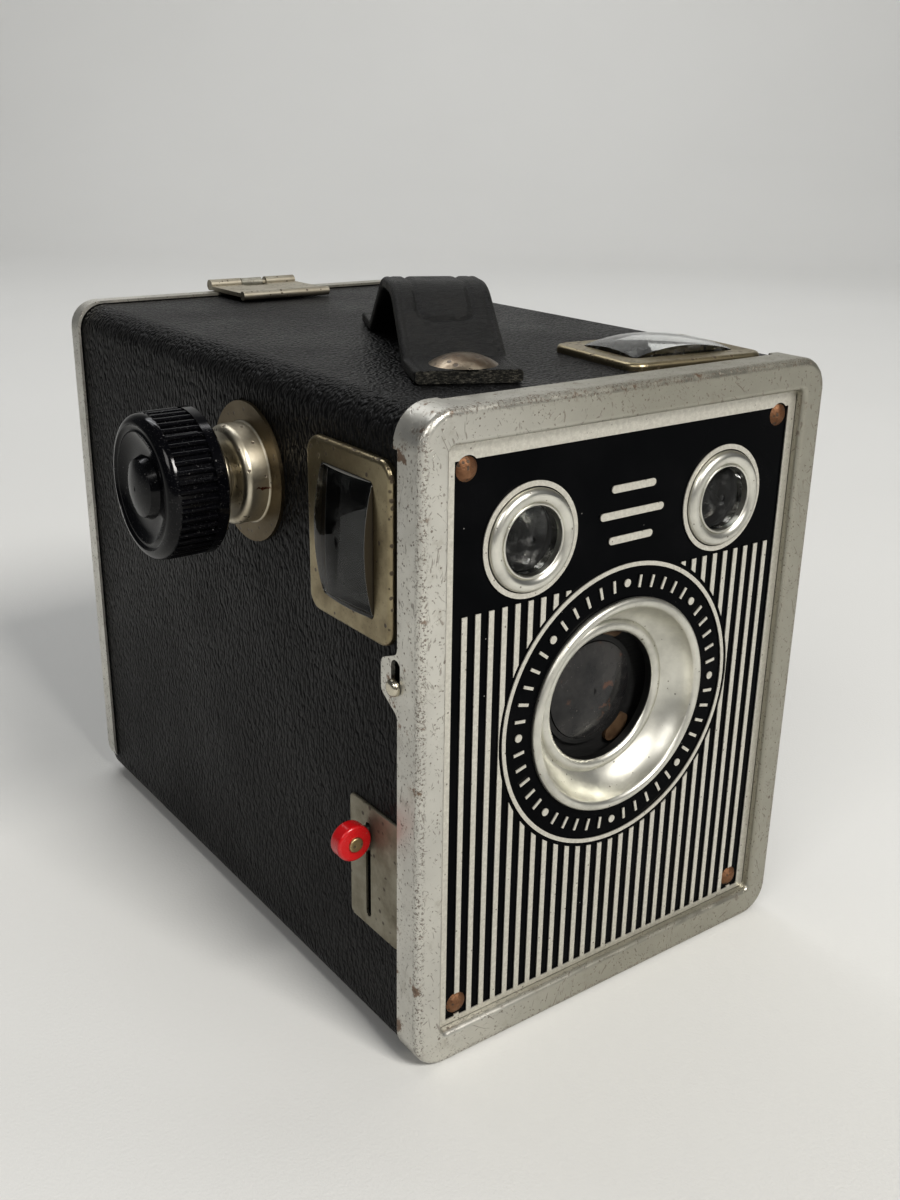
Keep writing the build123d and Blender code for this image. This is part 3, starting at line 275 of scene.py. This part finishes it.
def face_enamel(name):
    """Gloss black with the raised lines in aluminium colour, told apart by their height."""
    look = Look(name, (0.004, 0.0045, 0.006), 0.16, specular=0.04)
    raised = look.step(look.axis("Y"), PLATE_FRONT + RELIEF * 0.75, PLATE_FRONT + RELIEF * 0.35)
    grain = look.noise(1500, 3.0, 0.7)
    worn = look.specks(1300, 0.26, 0.3)
    silver = look.mix(look.step(grain, 0.3, 0.75), (0.6, 0.58, 0.52), (0.74, 0.72, 0.65))
    silver = look.mix(look.math("MULTIPLY", worn, 0.7), silver, (0.12, 0.1, 0.08))
    dust = look.specks(700, 0.1, 0.16)
    haze = look.step(look.noise(60, 4.0), 0.45, 0.75)
    black = look.mix(haze, (0.002, 0.0023, 0.003), (0.005, 0.0052, 0.006))
    black = look.mix(look.math("MULTIPLY", dust, 0.6), black, (0.35, 0.34, 0.32))
    look.set(Base_Color=look.mix(raised, black, silver))
    look.set(Metallic=look.math("MULTIPLY", raised, 0.8))
    gloss = look.step(haze, 0.0, 1.0, 0.13, 0.3)
    look.set(Roughness=look.blend(raised, gloss, 0.42))
    look.bump(look.math("MULTIPLY", grain, raised), 0.000015, 0.5)
    return look.material


def spun_metal(name, centre, bore, rough=0.34):
    """Satin turned aluminium: rings of fine lines round an axis along Y, black inside the bore."""
    color = (0.74, 0.73, 0.665)
    look = Look(name, color, rough, metallic=1.0)
    radius = look.radius(centre)
    across = look.tree.nodes.new("ShaderNodeCombineXYZ")
    look.put(across.inputs[0], look.math("MULTIPLY", radius, 30.0))
    look.put(across.inputs[1], look.axis("Y"))
    lines = look.noise(420, 3.0, 0.7, at=across.outputs[0])
    cloud = look.noise(170, 4.0, 0.6)
    pits = look.math("MAXIMUM", look.specks(1400, 0.26, 0.25), look.specks(380, 0.12, 0.15))
    dull = tuple(c * 0.74 for c in color)
    tone = look.mix(look.step(cloud, 0.3, 0.75), color, dull)
    tone = look.mix(look.math("MULTIPLY", pits, 0.7), tone, (0.12, 0.1, 0.075))
    inside = look.step(radius, bore + 0.0001, bore + 0.00004)
    look.set(Base_Color=look.mix(inside, tone, (0.008, 0.008, 0.008)))
    look.set(Metallic=look.math("SUBTRACT", 1.0, inside))
    look.set(Roughness=look.step(cloud, 0.3, 0.75, rough, rough + 0.14))
    look.bump(lines, 0.00001, 0.25)
    look.bump(pits, -0.00003, 0.7)
    return look.material


def old_metal(
    name,
    color,
    tarnish,
    rough=0.34,
    share=0.4,
    cloudy=0.55,
    relief=0.00002,
    grain=1500,
    flange=None,
    crack=None,
):
    """Plated metal with darker cloudy tarnish and pits.

    Past flange (a place along X) the plate is duller and darker; crack is where a rusty crack ends.
    """
    look = Look(name, color, rough, metallic=1.0)
    cloud = look.noise(130, 5.0, 0.65)
    fine = look.noise(1400, 3.0, 0.6)
    pits = look.math("MAXIMUM", look.specks(grain, 0.5, share), look.specks(620, 0.26, share * 0.6))
    tone = look.mix(look.math("MULTIPLY", look.step(cloud, 0.35, 0.72), cloudy), color, tarnish)
    if flange:
        dull = tuple(c * 0.5 for c in tarnish)
        tone = look.mix(look.step(look.axis("X"), flange - 0.0002, flange), tone, dull)
    tone = look.mix(look.math("MULTIPLY", pits, 0.85), tone, (0.055, 0.038, 0.025))
    if crack:
        wander = look.math("MULTIPLY", look.noise(900, 3.0, 0.6), 0.0014)
        height = look.math("SUBTRACT", look.math("ADD", look.axis("Z"), wander), crack.z)
        reach = look.math("ABSOLUTE", look.math("SUBTRACT", look.axis("X"), crack.x))
        line = look.step(look.math("ABSOLUTE", height), 0.00022, 0.00005)
        line = look.math("MULTIPLY", line, look.step(reach, 0.0014, 0.0009))
        line = look.math("MULTIPLY", line, look.step(look.axis("Y"), crack.y, crack.y - 0.001))
        tone = look.mix(line, tone, (0.13, 0.035, 0.02))
    look.set(Base_Color=tone)
    look.set(Metallic=look.math("SUBTRACT", 1.0, look.math("MULTIPLY", pits, 0.7)))
    uneven = look.math("ADD", cloud, look.math("MULTIPLY", fine, 0.3))
    look.set(Roughness=look.step(uneven, 0.4, 0.95, rough, rough + 0.22))
    look.bump(fine, relief, 0.5)
    look.bump(pits, -0.00004, 0.8)
    return look.material


def moulded(name, color, rough, dust_tone, dust=0.3, coat=0.3, specular=0.5):
    """Glossy moulded plastic with dust and faint hairline scratches."""
    look = Look(name, color, rough, coat=coat, specular=specular)
    flow = look.noise(90, 3.0)
    specks = look.specks(1100, 0.2, 0.2)
    lines = look.scratches((0.4, 0.2, 0.9), 200)
    lines = look.math("MAXIMUM", lines, look.scratches((1.2, 0.6, 0.1), 160))
    soil = look.math("MAXIMUM", specks, look.math("MULTIPLY", lines, 0.5))
    look.set(Base_Color=look.mix(look.math("MULTIPLY", soil, dust), color, dust_tone))
    uneven = look.math("ADD", flow, look.math("MULTIPLY", soil, 0.4))
    look.set(Roughness=look.step(uneven, 0.3, 1.1, rough, rough + 0.3))
    look.bump(flow, 0.0002, 0.12)
    look.bump(look.noise(2200, 2.0), 0.000008, 0.4)
    return look.material


def sheet_steel(name, color=(0.018, 0.018, 0.018), metallic=0.2, rough=0.4):
    """Black japanned or plain steel sheet for the inside."""
    look = Look(name, color, rough, metallic=metallic)
    cloud = look.noise(80, 4.0)
    brush = look.noise(300, 2.0, at=look.stretched((1, 1, 14)))
    light = tuple(min(1.0, c * 1.7) for c in color)
    look.set(Base_Color=look.mix(look.step(cloud, 0.3, 0.75), color, light))
    look.set(Roughness=look.step(brush, 0.3, 0.7, rough, rough + 0.18))
    look.bump(brush, 0.00001, 0.3)
    return look.material


def clear_glass(name, dirt=0.25, tint=(0.93, 0.95, 0.94), ior=1.45, pane=None, letters="YZ"):
    """Moulded glass with a film of dust that dulls it in patches.

    pane is a CAD node whose flat edge round the crown, across the two axes in letters, is made dark
    and not clear.
    """
    look = Look(name, tint, 0.015)
    look.set(IOR=ior)
    film = look.math("MULTIPLY", look.step(look.noise(260, 5.0, 0.7), 0.5, 0.8), dirt)
    grit = look.specks(1500, 0.16, 0.25)
    dull = look.math("MAXIMUM", film, look.math("MULTIPLY", grit, dirt * 1.6), clamp=True)
    clear = look.math("SUBTRACT", 1.0, look.math("MULTIPLY", dull, 0.5))
    tone = look.mix(dull, tint, (0.5, 0.48, 0.44))
    if pane:
        low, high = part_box(pane)
        rims = []
        for letter in letters:
            at = "XYZ".index(letter)
            off = look.math("SUBTRACT", look.axis(letter), (low[at] + high[at]) / 2)
            rims.append(look.math("SUBTRACT", look.math("ABSOLUTE", off), (high[at] - low[at]) / 2))
        edge = look.step(look.math("MAXIMUM", *rims), -FLAT_EDGE - 0.00015, -FLAT_EDGE - 0.00005)
        tone = look.mix(edge, tone, (0.05, 0.042, 0.03))
        clear = look.math("MULTIPLY", clear, look.math("SUBTRACT", 1.0, edge))
    look.set(Transmission_Weight=clear)
    look.set(Roughness=look.step(dull, 0.0, 0.6, 0.015, 0.22))
    look.set(Base_Color=tone)
    look.bump(look.noise(160, 2.0), 0.0001, 0.1)
    return look.material


def dusty_lens(name):
    """Old lens: dark depth under a grey bloom with rust-coloured specks."""
    look = Look(name, (0.02, 0.02, 0.022), 0.12, coat=0.15, specular=0.3)
    bloom = look.step(look.noise(110, 5.0, 0.65), 0.32, 0.72)
    haze = look.mix(bloom, (0.012, 0.012, 0.013), (0.05, 0.048, 0.046))
    rust = look.math("MULTIPLY", look.step(look.noise(330, 4.0, 0.6), 0.6, 0.7), 0.7)
    tone = look.mix(rust, haze, (0.11, 0.05, 0.03))
    grit = look.specks(1500, 0.2, 0.3)
    look.set(Base_Color=look.mix(look.math("MULTIPLY", grit, 0.5), tone, (0.2, 0.18, 0.16)))
    look.set(Roughness=look.step(bloom, 0.0, 1.0, 0.12, 0.42))
    return look.material


def clip_metal(name):
    """Blackened clamp ring whose lugs are bare brown brass."""
    look = Look(name, (0.2, 0.13, 0.08), 0.5, metallic=0.5)
    lug = look.step(look.radius(middle("taking_lens")), CLIP_RING - 0.0003, CLIP_RING)
    cloud = look.noise(400, 4.0, 0.6)
    brown = look.mix(look.step(cloud, 0.35, 0.7), (0.17, 0.11, 0.065), (0.1, 0.06, 0.035))
    look.set(Base_Color=look.mix(lug, (0.004, 0.004, 0.004), brown))
    look.set(Metallic=look.math("MULTIPLY", lug, 0.5))
    look.bump(cloud, 0.00003, 0.5)
    return look.material


def strap_leather(name, cut=False):
    """Thin black strap leather with a fine cross grain; the cut edge is rough and fibrous."""
    look = Look(name, (0.02, 0.02, 0.019), 0.5, specular=0.25)
    turn = (0, 0, -STRAP_HEADING)
    at = look.stretched((0.4, 1.6, 1.6), turn=turn, warp=0.0006, warp_scale=700)
    creases = look.noise(1900, 4.0, 0.7, at=at)
    pores = look.cells(2400, at)
    wear = look.step(look.noise(150, 5.0, 0.65), 0.5, 0.72)
    if cut:
        fibres = look.noise(2600, 5.0, 0.8, at=look.stretched((0.5, 0.5, 1.6)))
        tone = look.mix(look.step(fibres, 0.45, 0.72), (0.01, 0.01, 0.009), (0.13, 0.122, 0.1))
        look.set(Roughness=0.85)
        look.bump(look.noise(1800, 4.0, 0.7), 0.0003, 1.0)
    else:
        tone = look.mix(look.step(pores, 0.2, 0.6), (0.013, 0.013, 0.0125), (0.004, 0.004, 0.004))
        tone = look.mix(look.math("MULTIPLY", wear, 0.45), tone, (0.035, 0.034, 0.031))
        look.set(Roughness=look.step(wear, 0.0, 1.0, 0.42, 0.62))
        look.bump(creases, 0.00032, 1.0)
        look.bump(pores, -0.00008, 0.5)
    look.set(Base_Color=tone)
    return look.material


# Where the knob collar's flange begins, and the end of the rusty crack in the collar
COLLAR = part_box("knob_collar")
FLANGE = COLLAR[1].x - 0.0006
CRACK = Vector((FLANGE - 0.0013, COLLAR[0].y + 0.0048, middle("knob_collar").z))

LOOKS = [
    (leatherette("leatherette"), ["body_covering", "door_covering"]),
    (silver_paint("silver_paint"), ["front_bezel"]),
    (silver_paint("door_paint", edges=False), ["back_door"]),
    (face_enamel("face_enamel"), ["face_plate"]),
    (spun_metal("lens_ring_metal", middle("lens_ring"), LENS_BORE), ["lens_ring"]),
    (
        spun_metal("left_ring_metal", middle("finder_ring_left"), FINDER_BORE, rough=0.3),
        ["finder_ring_left"],
    ),
    (
        spun_metal("right_ring_metal", middle("finder_ring_right"), FINDER_BORE, rough=0.3),
        ["finder_ring_right"],
    ),
    (
        old_metal(
            "window_nickel",
            (0.36, 0.31, 0.205),
            (0.18, 0.145, 0.09),
            rough=0.28,
            share=0.85,
            cloudy=0.7,
            grain=1150,
        ),
        ["finder_frame_top", "finder_frame_side"],
    ),
    (
        old_metal(
            "plate_nickel",
            (0.34, 0.32, 0.26),
            (0.19, 0.165, 0.12),
            rough=0.5,
            share=0.95,
            cloudy=0.8,
            grain=850,
        ),
        ["release_plate"],
    ),
    (
        old_metal(
            "collar_nickel",
            (0.62, 0.58, 0.48),
            (0.3, 0.24, 0.15),
            rough=0.28,
            share=0.2,
            cloudy=0.5,
            flange=FLANGE,
            crack=CRACK,
        ),
        ["knob_collar"],
    ),
    (
        old_metal("knob_nickel", (0.6, 0.56, 0.46), (0.34, 0.28, 0.19), rough=0.22, share=0.25),
        ["winding_shaft", "winding_sleeve", "time_slide"],
    ),
    (
        old_metal("clasp_nickel", (0.42, 0.39, 0.32), (0.24, 0.21, 0.16), rough=0.4),
        [
            "clasp",
            "clasp_pin",
            "clasp_catch",
            "hinge_body_leaf",
            "hinge_door_leaf",
            "hinge_pin",
            "window_ring",
        ],
    ),
    (
        old_metal(
            "rivet_nickel",
            (0.3, 0.26, 0.2),
            (0.12, 0.08, 0.05),
            rough=0.22,
            share=0.95,
            cloudy=1.0,
            grain=1000,
        ),
        ["strap_rivets"],
    ),
    (
        old_metal(
            "rusty_copper",
            (0.3, 0.17, 0.1),
            (0.12, 0.06, 0.035),
            rough=0.5,
            share=0.95,
            cloudy=1.0,
            relief=0.0005,
        ),
        ["face_pins"],
    ),
    (
        old_metal("dull_brass", (0.42, 0.33, 0.19), (0.22, 0.15, 0.08), rough=0.38, share=0.35),
        ["button_rivet", "shutter_pivots", "supply_spring"],
    ),
    (
        old_metal("plain_steel", (0.45, 0.45, 0.44), (0.28, 0.27, 0.25), rough=0.32, share=0.2),
        ["release_lever", "shutter_disc", "spool_pins", "lever_spring", "film_gate"],
    ),
    (
        old_metal("roller_steel", (0.62, 0.62, 0.61), (0.45, 0.44, 0.42), rough=0.15, share=0.1),
        ["film_roller_top", "film_roller_bottom"],
    ),
    (
        moulded("bakelite", (0.002, 0.002, 0.003), 0.1, (0.2, 0.195, 0.19), coat=0.0, specular=0.3),
        ["winding_knob"],
    ),
    (
        moulded("red_plastic", (0.5, 0.008, 0.012), 0.24, (0.3, 0.12, 0.1), dust=0.4),
        ["release_button"],
    ),
    (
        moulded("spool_plastic", (0.012, 0.012, 0.012), 0.45, (0.1, 0.1, 0.1), dust=0.2, coat=0.0),
        ["take_up_spool"],
    ),
    (moulded("ruby_celluloid", (0.2, 0.004, 0.006), 0.15, (0.2, 0.1, 0.1)), ["red_window"]),
    (
        sheet_steel("japanned_steel"),
        [
            "body_shell",
            "front_frame",
            "carrier_side_left",
            "carrier_side_right",
            "carrier_front",
            "light_cone",
        ],
    ),
    (
        sheet_steel("board_steel", (0.008, 0.008, 0.008), metallic=0.0, rough=0.6),
        ["lens_board", "shutter_board", "finder_housing_top", "finder_housing_side"],
    ),
    (
        clear_glass("side_window_glass", 0.14, ior=1.2, pane="finder_glass_side"),
        ["finder_glass_side"],
    ),
    (
        clear_glass("top_window_glass", 0.4, ior=1.6, pane="finder_glass_top", letters="XY"),
        ["finder_glass_top"],
    ),
    (
        clear_glass("objective_glass", 0.7, tint=(0.4, 0.41, 0.41), ior=1.3),
        ["finder_objective_left", "finder_objective_right"],
    ),
    (
        old_metal(
            "mirror_silver",
            (0.3, 0.3, 0.3),
            (0.2, 0.19, 0.18),
            rough=0.03,
            share=0.12,
            cloudy=0.3,
        ),
        ["finder_mirror_top", "finder_mirror_side"],
    ),
    (clip_metal("clip_metal"), ["lens_clip"]),
    (dusty_lens("dusty_lens"), ["taking_lens"]),
]
for material, names in LOOKS:
    for name in names:
        slots = nodes[name].data.materials
        slots.clear()
        slots.append(material)

# ---------------------------------------------------------------------------------------------
# Strap, modelled again as worked leather
# ---------------------------------------------------------------------------------------------

COVER_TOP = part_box("body_covering")[1].z
# The strap's line in the (along, up) plane, from its front end, and its size, as in the CAD
STRAP_END = Vector((-21.7, -46.8, 0)) * MM
STRAP_SPAN = 60 * MM
STRAP_WIDTH = 16.0 * MM
STRAP_THICK = 2.1 * MM
STRAP_RISE = 9.2 * MM
STRAP_FOOT = 11.3 * MM
STRAP_SHOULDER = 25 * MM
STRAP_BENDS = [4 * MM, 9 * MM, 9 * MM, 4 * MM]
# Points round each bend, rings along the strap, and divisions across each of its two sides
STRAP_BEND_STEPS = 10
STRAP_STATIONS = 241
STRAP_COLUMNS = 56
# Share of its width lost at the middle, and the share of its length on each side that narrows
STRAP_WAIST = 0.03
STRAP_WAIST_REACH = 0.4
# Share of its thickness lost at each end over the last rings, and how much of that in width
STRAP_EASE = 0.1
STRAP_END_TAPER = 0.2
STRAP_EASED_RINGS = 3
# Share of the half width where the edges start to thin, and the thickness left at the edge
STRAP_EDGE_FROM = 0.9
STRAP_EDGE_THICK = 0.42
# Tooled lines, as shares of the half width: each line's place and width. The panel's line runs
# PANEL_ROUND away from a middle strip of half width PANEL_CORE, which ends PANEL_END half widths
# from the middle of the strap.
BORDER_AT = 0.84
BORDER_WIDTH = 0.03
BORDER_DEPTH = 0.1 * MM
PANEL_CORE = 0.3
PANEL_END = 1.2
PANEL_ROUND = 0.24
PANEL_WIDTH = 0.05
PANEL_DEPTH = 0.34 * MM
ALONG = Vector((math.sin(STRAP_HEADING), math.cos(STRAP_HEADING), 0))
ACROSS = Vector((ALONG.y, -ALONG.x, 0))


def smooth_step(value, low, high):
    """Smooth ramp from 0 at low to 1 at high."""
    t = max(0.0, min(1.0, (value - low) / (high - low)))
    return t * t * (3 - 2 * t)


def rounded_route(corners, radii):
    """Points of a route through corners in the (along, up) plane, each rounded to its radius."""
    route = [corners[0]]
    for before, corner, after, radius in zip(corners, corners[1:], corners[2:], radii):
        into = (corner - before).normalized()
        out = (after - corner).normalized()
        bend = into.angle(out)
        reach = radius * math.tan(bend / 2)
        start, end = corner - into * reach, corner + out * reach
        for step in range(STRAP_BEND_STEPS + 1):
            t = step / STRAP_BEND_STEPS
            route.append(start.lerp(corner, t).lerp(corner.lerp(end, t), t))
    route.append(corners[-1])
    return route


def even_points(route, count):
    """count points evenly spaced along a polyline."""
    lengths = [0.0]
    for a, b in zip(route, route[1:]):
        lengths.append(lengths[-1] + (b - a).length)
    points = []
    place = 0
    for step in range(count):
        target = lengths[-1] * step / (count - 1)
        while place < len(lengths) - 2 and lengths[place + 1] < target:
            place += 1
        part = (target - lengths[place]) / max(lengths[place + 1] - lengths[place], 1e-9)
        points.append(route[place].lerp(route[place + 1], part))
    return points


def pressed_line(t, length):
    """Depth of the tooled lines: one along each edge, and a long rounded panel in the middle."""
    border = math.exp(-(((abs(t) - BORDER_AT) / BORDER_WIDTH) ** 2)) * BORDER_DEPTH
    across = max(0.0, abs(t) - PANEL_CORE)
    along = max(0.0, abs(length - 0.5) * STRAP_SPAN / (STRAP_WIDTH / 2) - PANEL_END)
    from_line = math.hypot(across, along) - PANEL_ROUND
    panel = math.exp(-((from_line / PANEL_WIDTH) ** 2)) * PANEL_DEPTH
    return border + panel


def make_strap():
    """Closed band with eased long edges, a cut end face, and tooled lines on top."""
    corners = [
        Vector((0, 0)),
        Vector((STRAP_FOOT, 0)),
        Vector((STRAP_SHOULDER, STRAP_RISE)),
        Vector((STRAP_SPAN - STRAP_SHOULDER, STRAP_RISE)),
        Vector((STRAP_SPAN - STRAP_FOOT, 0)),
        Vector((STRAP_SPAN, 0)),
    ]
    stations = even_points(rounded_route(corners, STRAP_BENDS), STRAP_STATIONS)
    last = STRAP_STATIONS - 1
    half = STRAP_WIDTH / 2
    mesh = bmesh.new()
    rings = []
    for index, point in enumerate(stations):
        ahead = stations[min(index + 1, last)] - stations[max(index - 1, 0)]
        ahead.normalize()
        up = Vector((-ahead.y, ahead.x))
        length = index / last
        to_end = STRAP_EASED_RINGS - min(index, last - index)
        eased = 1 - STRAP_EASE * smooth_step(to_end, 0, STRAP_EASED_RINGS)
        waist = 1 - STRAP_WAIST * smooth_step(abs(length - 0.5), STRAP_WAIST_REACH, 0.0)
        narrow = waist * (1 - STRAP_END_TAPER * (1 - eased))
        ring = []
        there = range(STRAP_COLUMNS + 1)
        for side, order in ((1, there), (-1, reversed(there))):
            for column in order:
                t = math.sin(math.pi * (column / STRAP_COLUMNS - 0.5))
                edge = max(0.0, abs(t) - STRAP_EDGE_FROM) / (1 - STRAP_EDGE_FROM)
                crown = math.sqrt(max(0.0, 1 - edge**2))
                thick = STRAP_EDGE_THICK + (1 - STRAP_EDGE_THICK) * crown
                thick *= STRAP_THICK / 2 * eased
                if side > 0:
                    thick -= pressed_line(t, length)
                lift = STRAP_THICK / 2 + side * thick
                here = point + up * lift
                place = STRAP_END + ALONG * here.x + ACROSS * (t * half * narrow)
                ring.append(mesh.verts.new((place.x, place.y, COVER_TOP + here.y)))
        rings.append(ring)
    count = len(rings[0])
    for a, b in zip(rings, rings[1:]):
        for k in range(count):
            mesh.faces.new((a[k], a[(k + 1) % count], b[(k + 1) % count], b[k]))
    for ring in (rings[0], list(reversed(rings[-1]))):
        face = mesh.faces.new(ring)
        face.material_index = 1
    bmesh.ops.recalc_face_normals(mesh, faces=mesh.faces)
    data = bpy.data.meshes.new("leather_strap")
    mesh.to_mesh(data)
    mesh.free()
    for polygon in data.polygons:
        polygon.use_smooth = polygon.material_index == 0
    strap = bpy.data.objects.new("leather_strap", data)
    bpy.context.scene.collection.objects.link(strap)
    data.materials.append(strap_leather("strap_leather"))
    data.materials.append(strap_leather("strap_cut", cut=True))
    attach(strap, "camera")
    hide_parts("strap")


make_strap()

# ---------------------------------------------------------------------------------------------
# Studio
# ---------------------------------------------------------------------------------------------

STAGE_HALF = 2.5
FLOOR_NEAR = -1.2
FLOOR_FAR = 1.1
SWEEP_RADIUS = 0.5
SWEEP_STEPS = 12
BACKDROP_TOP = 3.0


def make_stage():
    """Pale floor that sweeps up into a backdrop far behind."""
    profile = [(FLOOR_NEAR, 0.0), (FLOOR_FAR, 0.0)]
    for step in range(1, SWEEP_STEPS + 1):
        turn = math.pi / 2 * step / SWEEP_STEPS
        run = FLOOR_FAR + SWEEP_RADIUS * math.sin(turn)
        profile.append((run, SWEEP_RADIUS * (1 - math.cos(turn))))
    profile.append((FLOOR_FAR + SWEEP_RADIUS, BACKDROP_TOP))
    heading = Vector((0.6, 0.8, 0))
    side = Vector((0.8, -0.6, 0))
    mesh = bmesh.new()
    rows = []
    for run, height in profile:
        across = (side * -STAGE_HALF, side * STAGE_HALF)
        rows.append([mesh.verts.new(heading * run + s + Vector((0, 0, height))) for s in across])
    for a, b in zip(rows, rows[1:]):
        mesh.faces.new((a[0], a[1], b[1], b[0]))
    data = bpy.data.meshes.new("floor")
    mesh.to_mesh(data)
    mesh.free()
    for polygon in data.polygons:
        polygon.use_smooth = True
    floor = bpy.data.objects.new("floor", data)
    bpy.context.scene.collection.objects.link(floor)
    look = Look("pale_cloth", (0.66, 0.66, 0.645), 0.85, specular=0.2)
    look.set(Base_Color=look.mix(look.noise(3.0, 3.0), (0.64, 0.64, 0.625), (0.7, 0.7, 0.685)))
    look.bump(look.noise(1800, 2.0), 0.0002, 0.25)
    data.materials.append(look.material)


def area_light(name, place, target, size, power, color=(1, 1, 1)):
    """Rectangular lamp at place, turned to face target."""
    light = bpy.data.lights.new(name, "AREA")
    light.shape = "RECTANGLE"
    light.size, light.size_y = size
    light.energy = power
    light.color = color
    lamp = bpy.data.objects.new(name, light)
    lamp.location = place
    lamp.rotation_mode = "QUATERNION"
    lamp.rotation_quaternion = (Vector(target) - Vector(place)).to_track_quat("-Z", "Y")
    bpy.context.scene.collection.objects.link(lamp)


make_stage()
CENTRE = (0, 0, 0.05)
area_light("key", (0.05, -1.0, 0.95), CENTRE, (0.4, 0.4), 14.0, (1.0, 0.975, 0.93))
area_light("left_soft", (-0.9, -0.5, 0.9), (-0.15, -0.1, 0), (0.5, 0.5), 3.5, (1.0, 0.98, 0.95))
area_light("overhead", (0.0, 0.6, 0.9), CENTRE, (0.5, 0.4), 1.5, (0.97, 0.98, 1.0))
area_light("backdrop_light", (0.3, 0.5, 1.3), (1.2, 1.2, 0.35), (1.6, 0.4), 9.0)

world = bpy.data.worlds.new("studio")
world.use_nodes = True
background = world.node_tree.nodes["Background"]
background.inputs["Color"].default_value = (0.82, 0.85, 0.9, 1)
background.inputs["Strength"].default_value = 0.1
bpy.context.scene.world = world
bpy.context.scene.view_settings.view_transform = "Standard"
bpy.context.scene.view_settings.look = "Medium High Contrast"

# The camera's place and direction, solved from the photograph's perspective
CAMERA_PLACE = (-130.47 * MM, -189.42 * MM, 138.23 * MM)
CAMERA_AZIMUTH = math.radians(-36.6)
CAMERA_ELEVATION = math.radians(20.7)
CAMERA_ROLL = math.radians(0.95)
CAMERA_LENS = 38.0

camera_data = bpy.data.cameras.new("camera")
camera_data.lens = CAMERA_LENS
camera_data.sensor_width = 36.0
camera_data.clip_start = 0.01
camera = bpy.data.objects.new("camera", camera_data)
camera.location = CAMERA_PLACE
sight = Vector(
    (
        -math.sin(CAMERA_AZIMUTH) * math.cos(CAMERA_ELEVATION),
        math.cos(CAMERA_AZIMUTH) * math.cos(CAMERA_ELEVATION),
        -math.sin(CAMERA_ELEVATION),
    )
)
camera.rotation_mode = "QUATERNION"
camera.rotation_quaternion = sight.to_track_quat("-Z", "Y") @ Quaternion((0, 0, 1), CAMERA_ROLL)
bpy.context.scene.collection.objects.link(camera)
bpy.context.scene.camera = camera
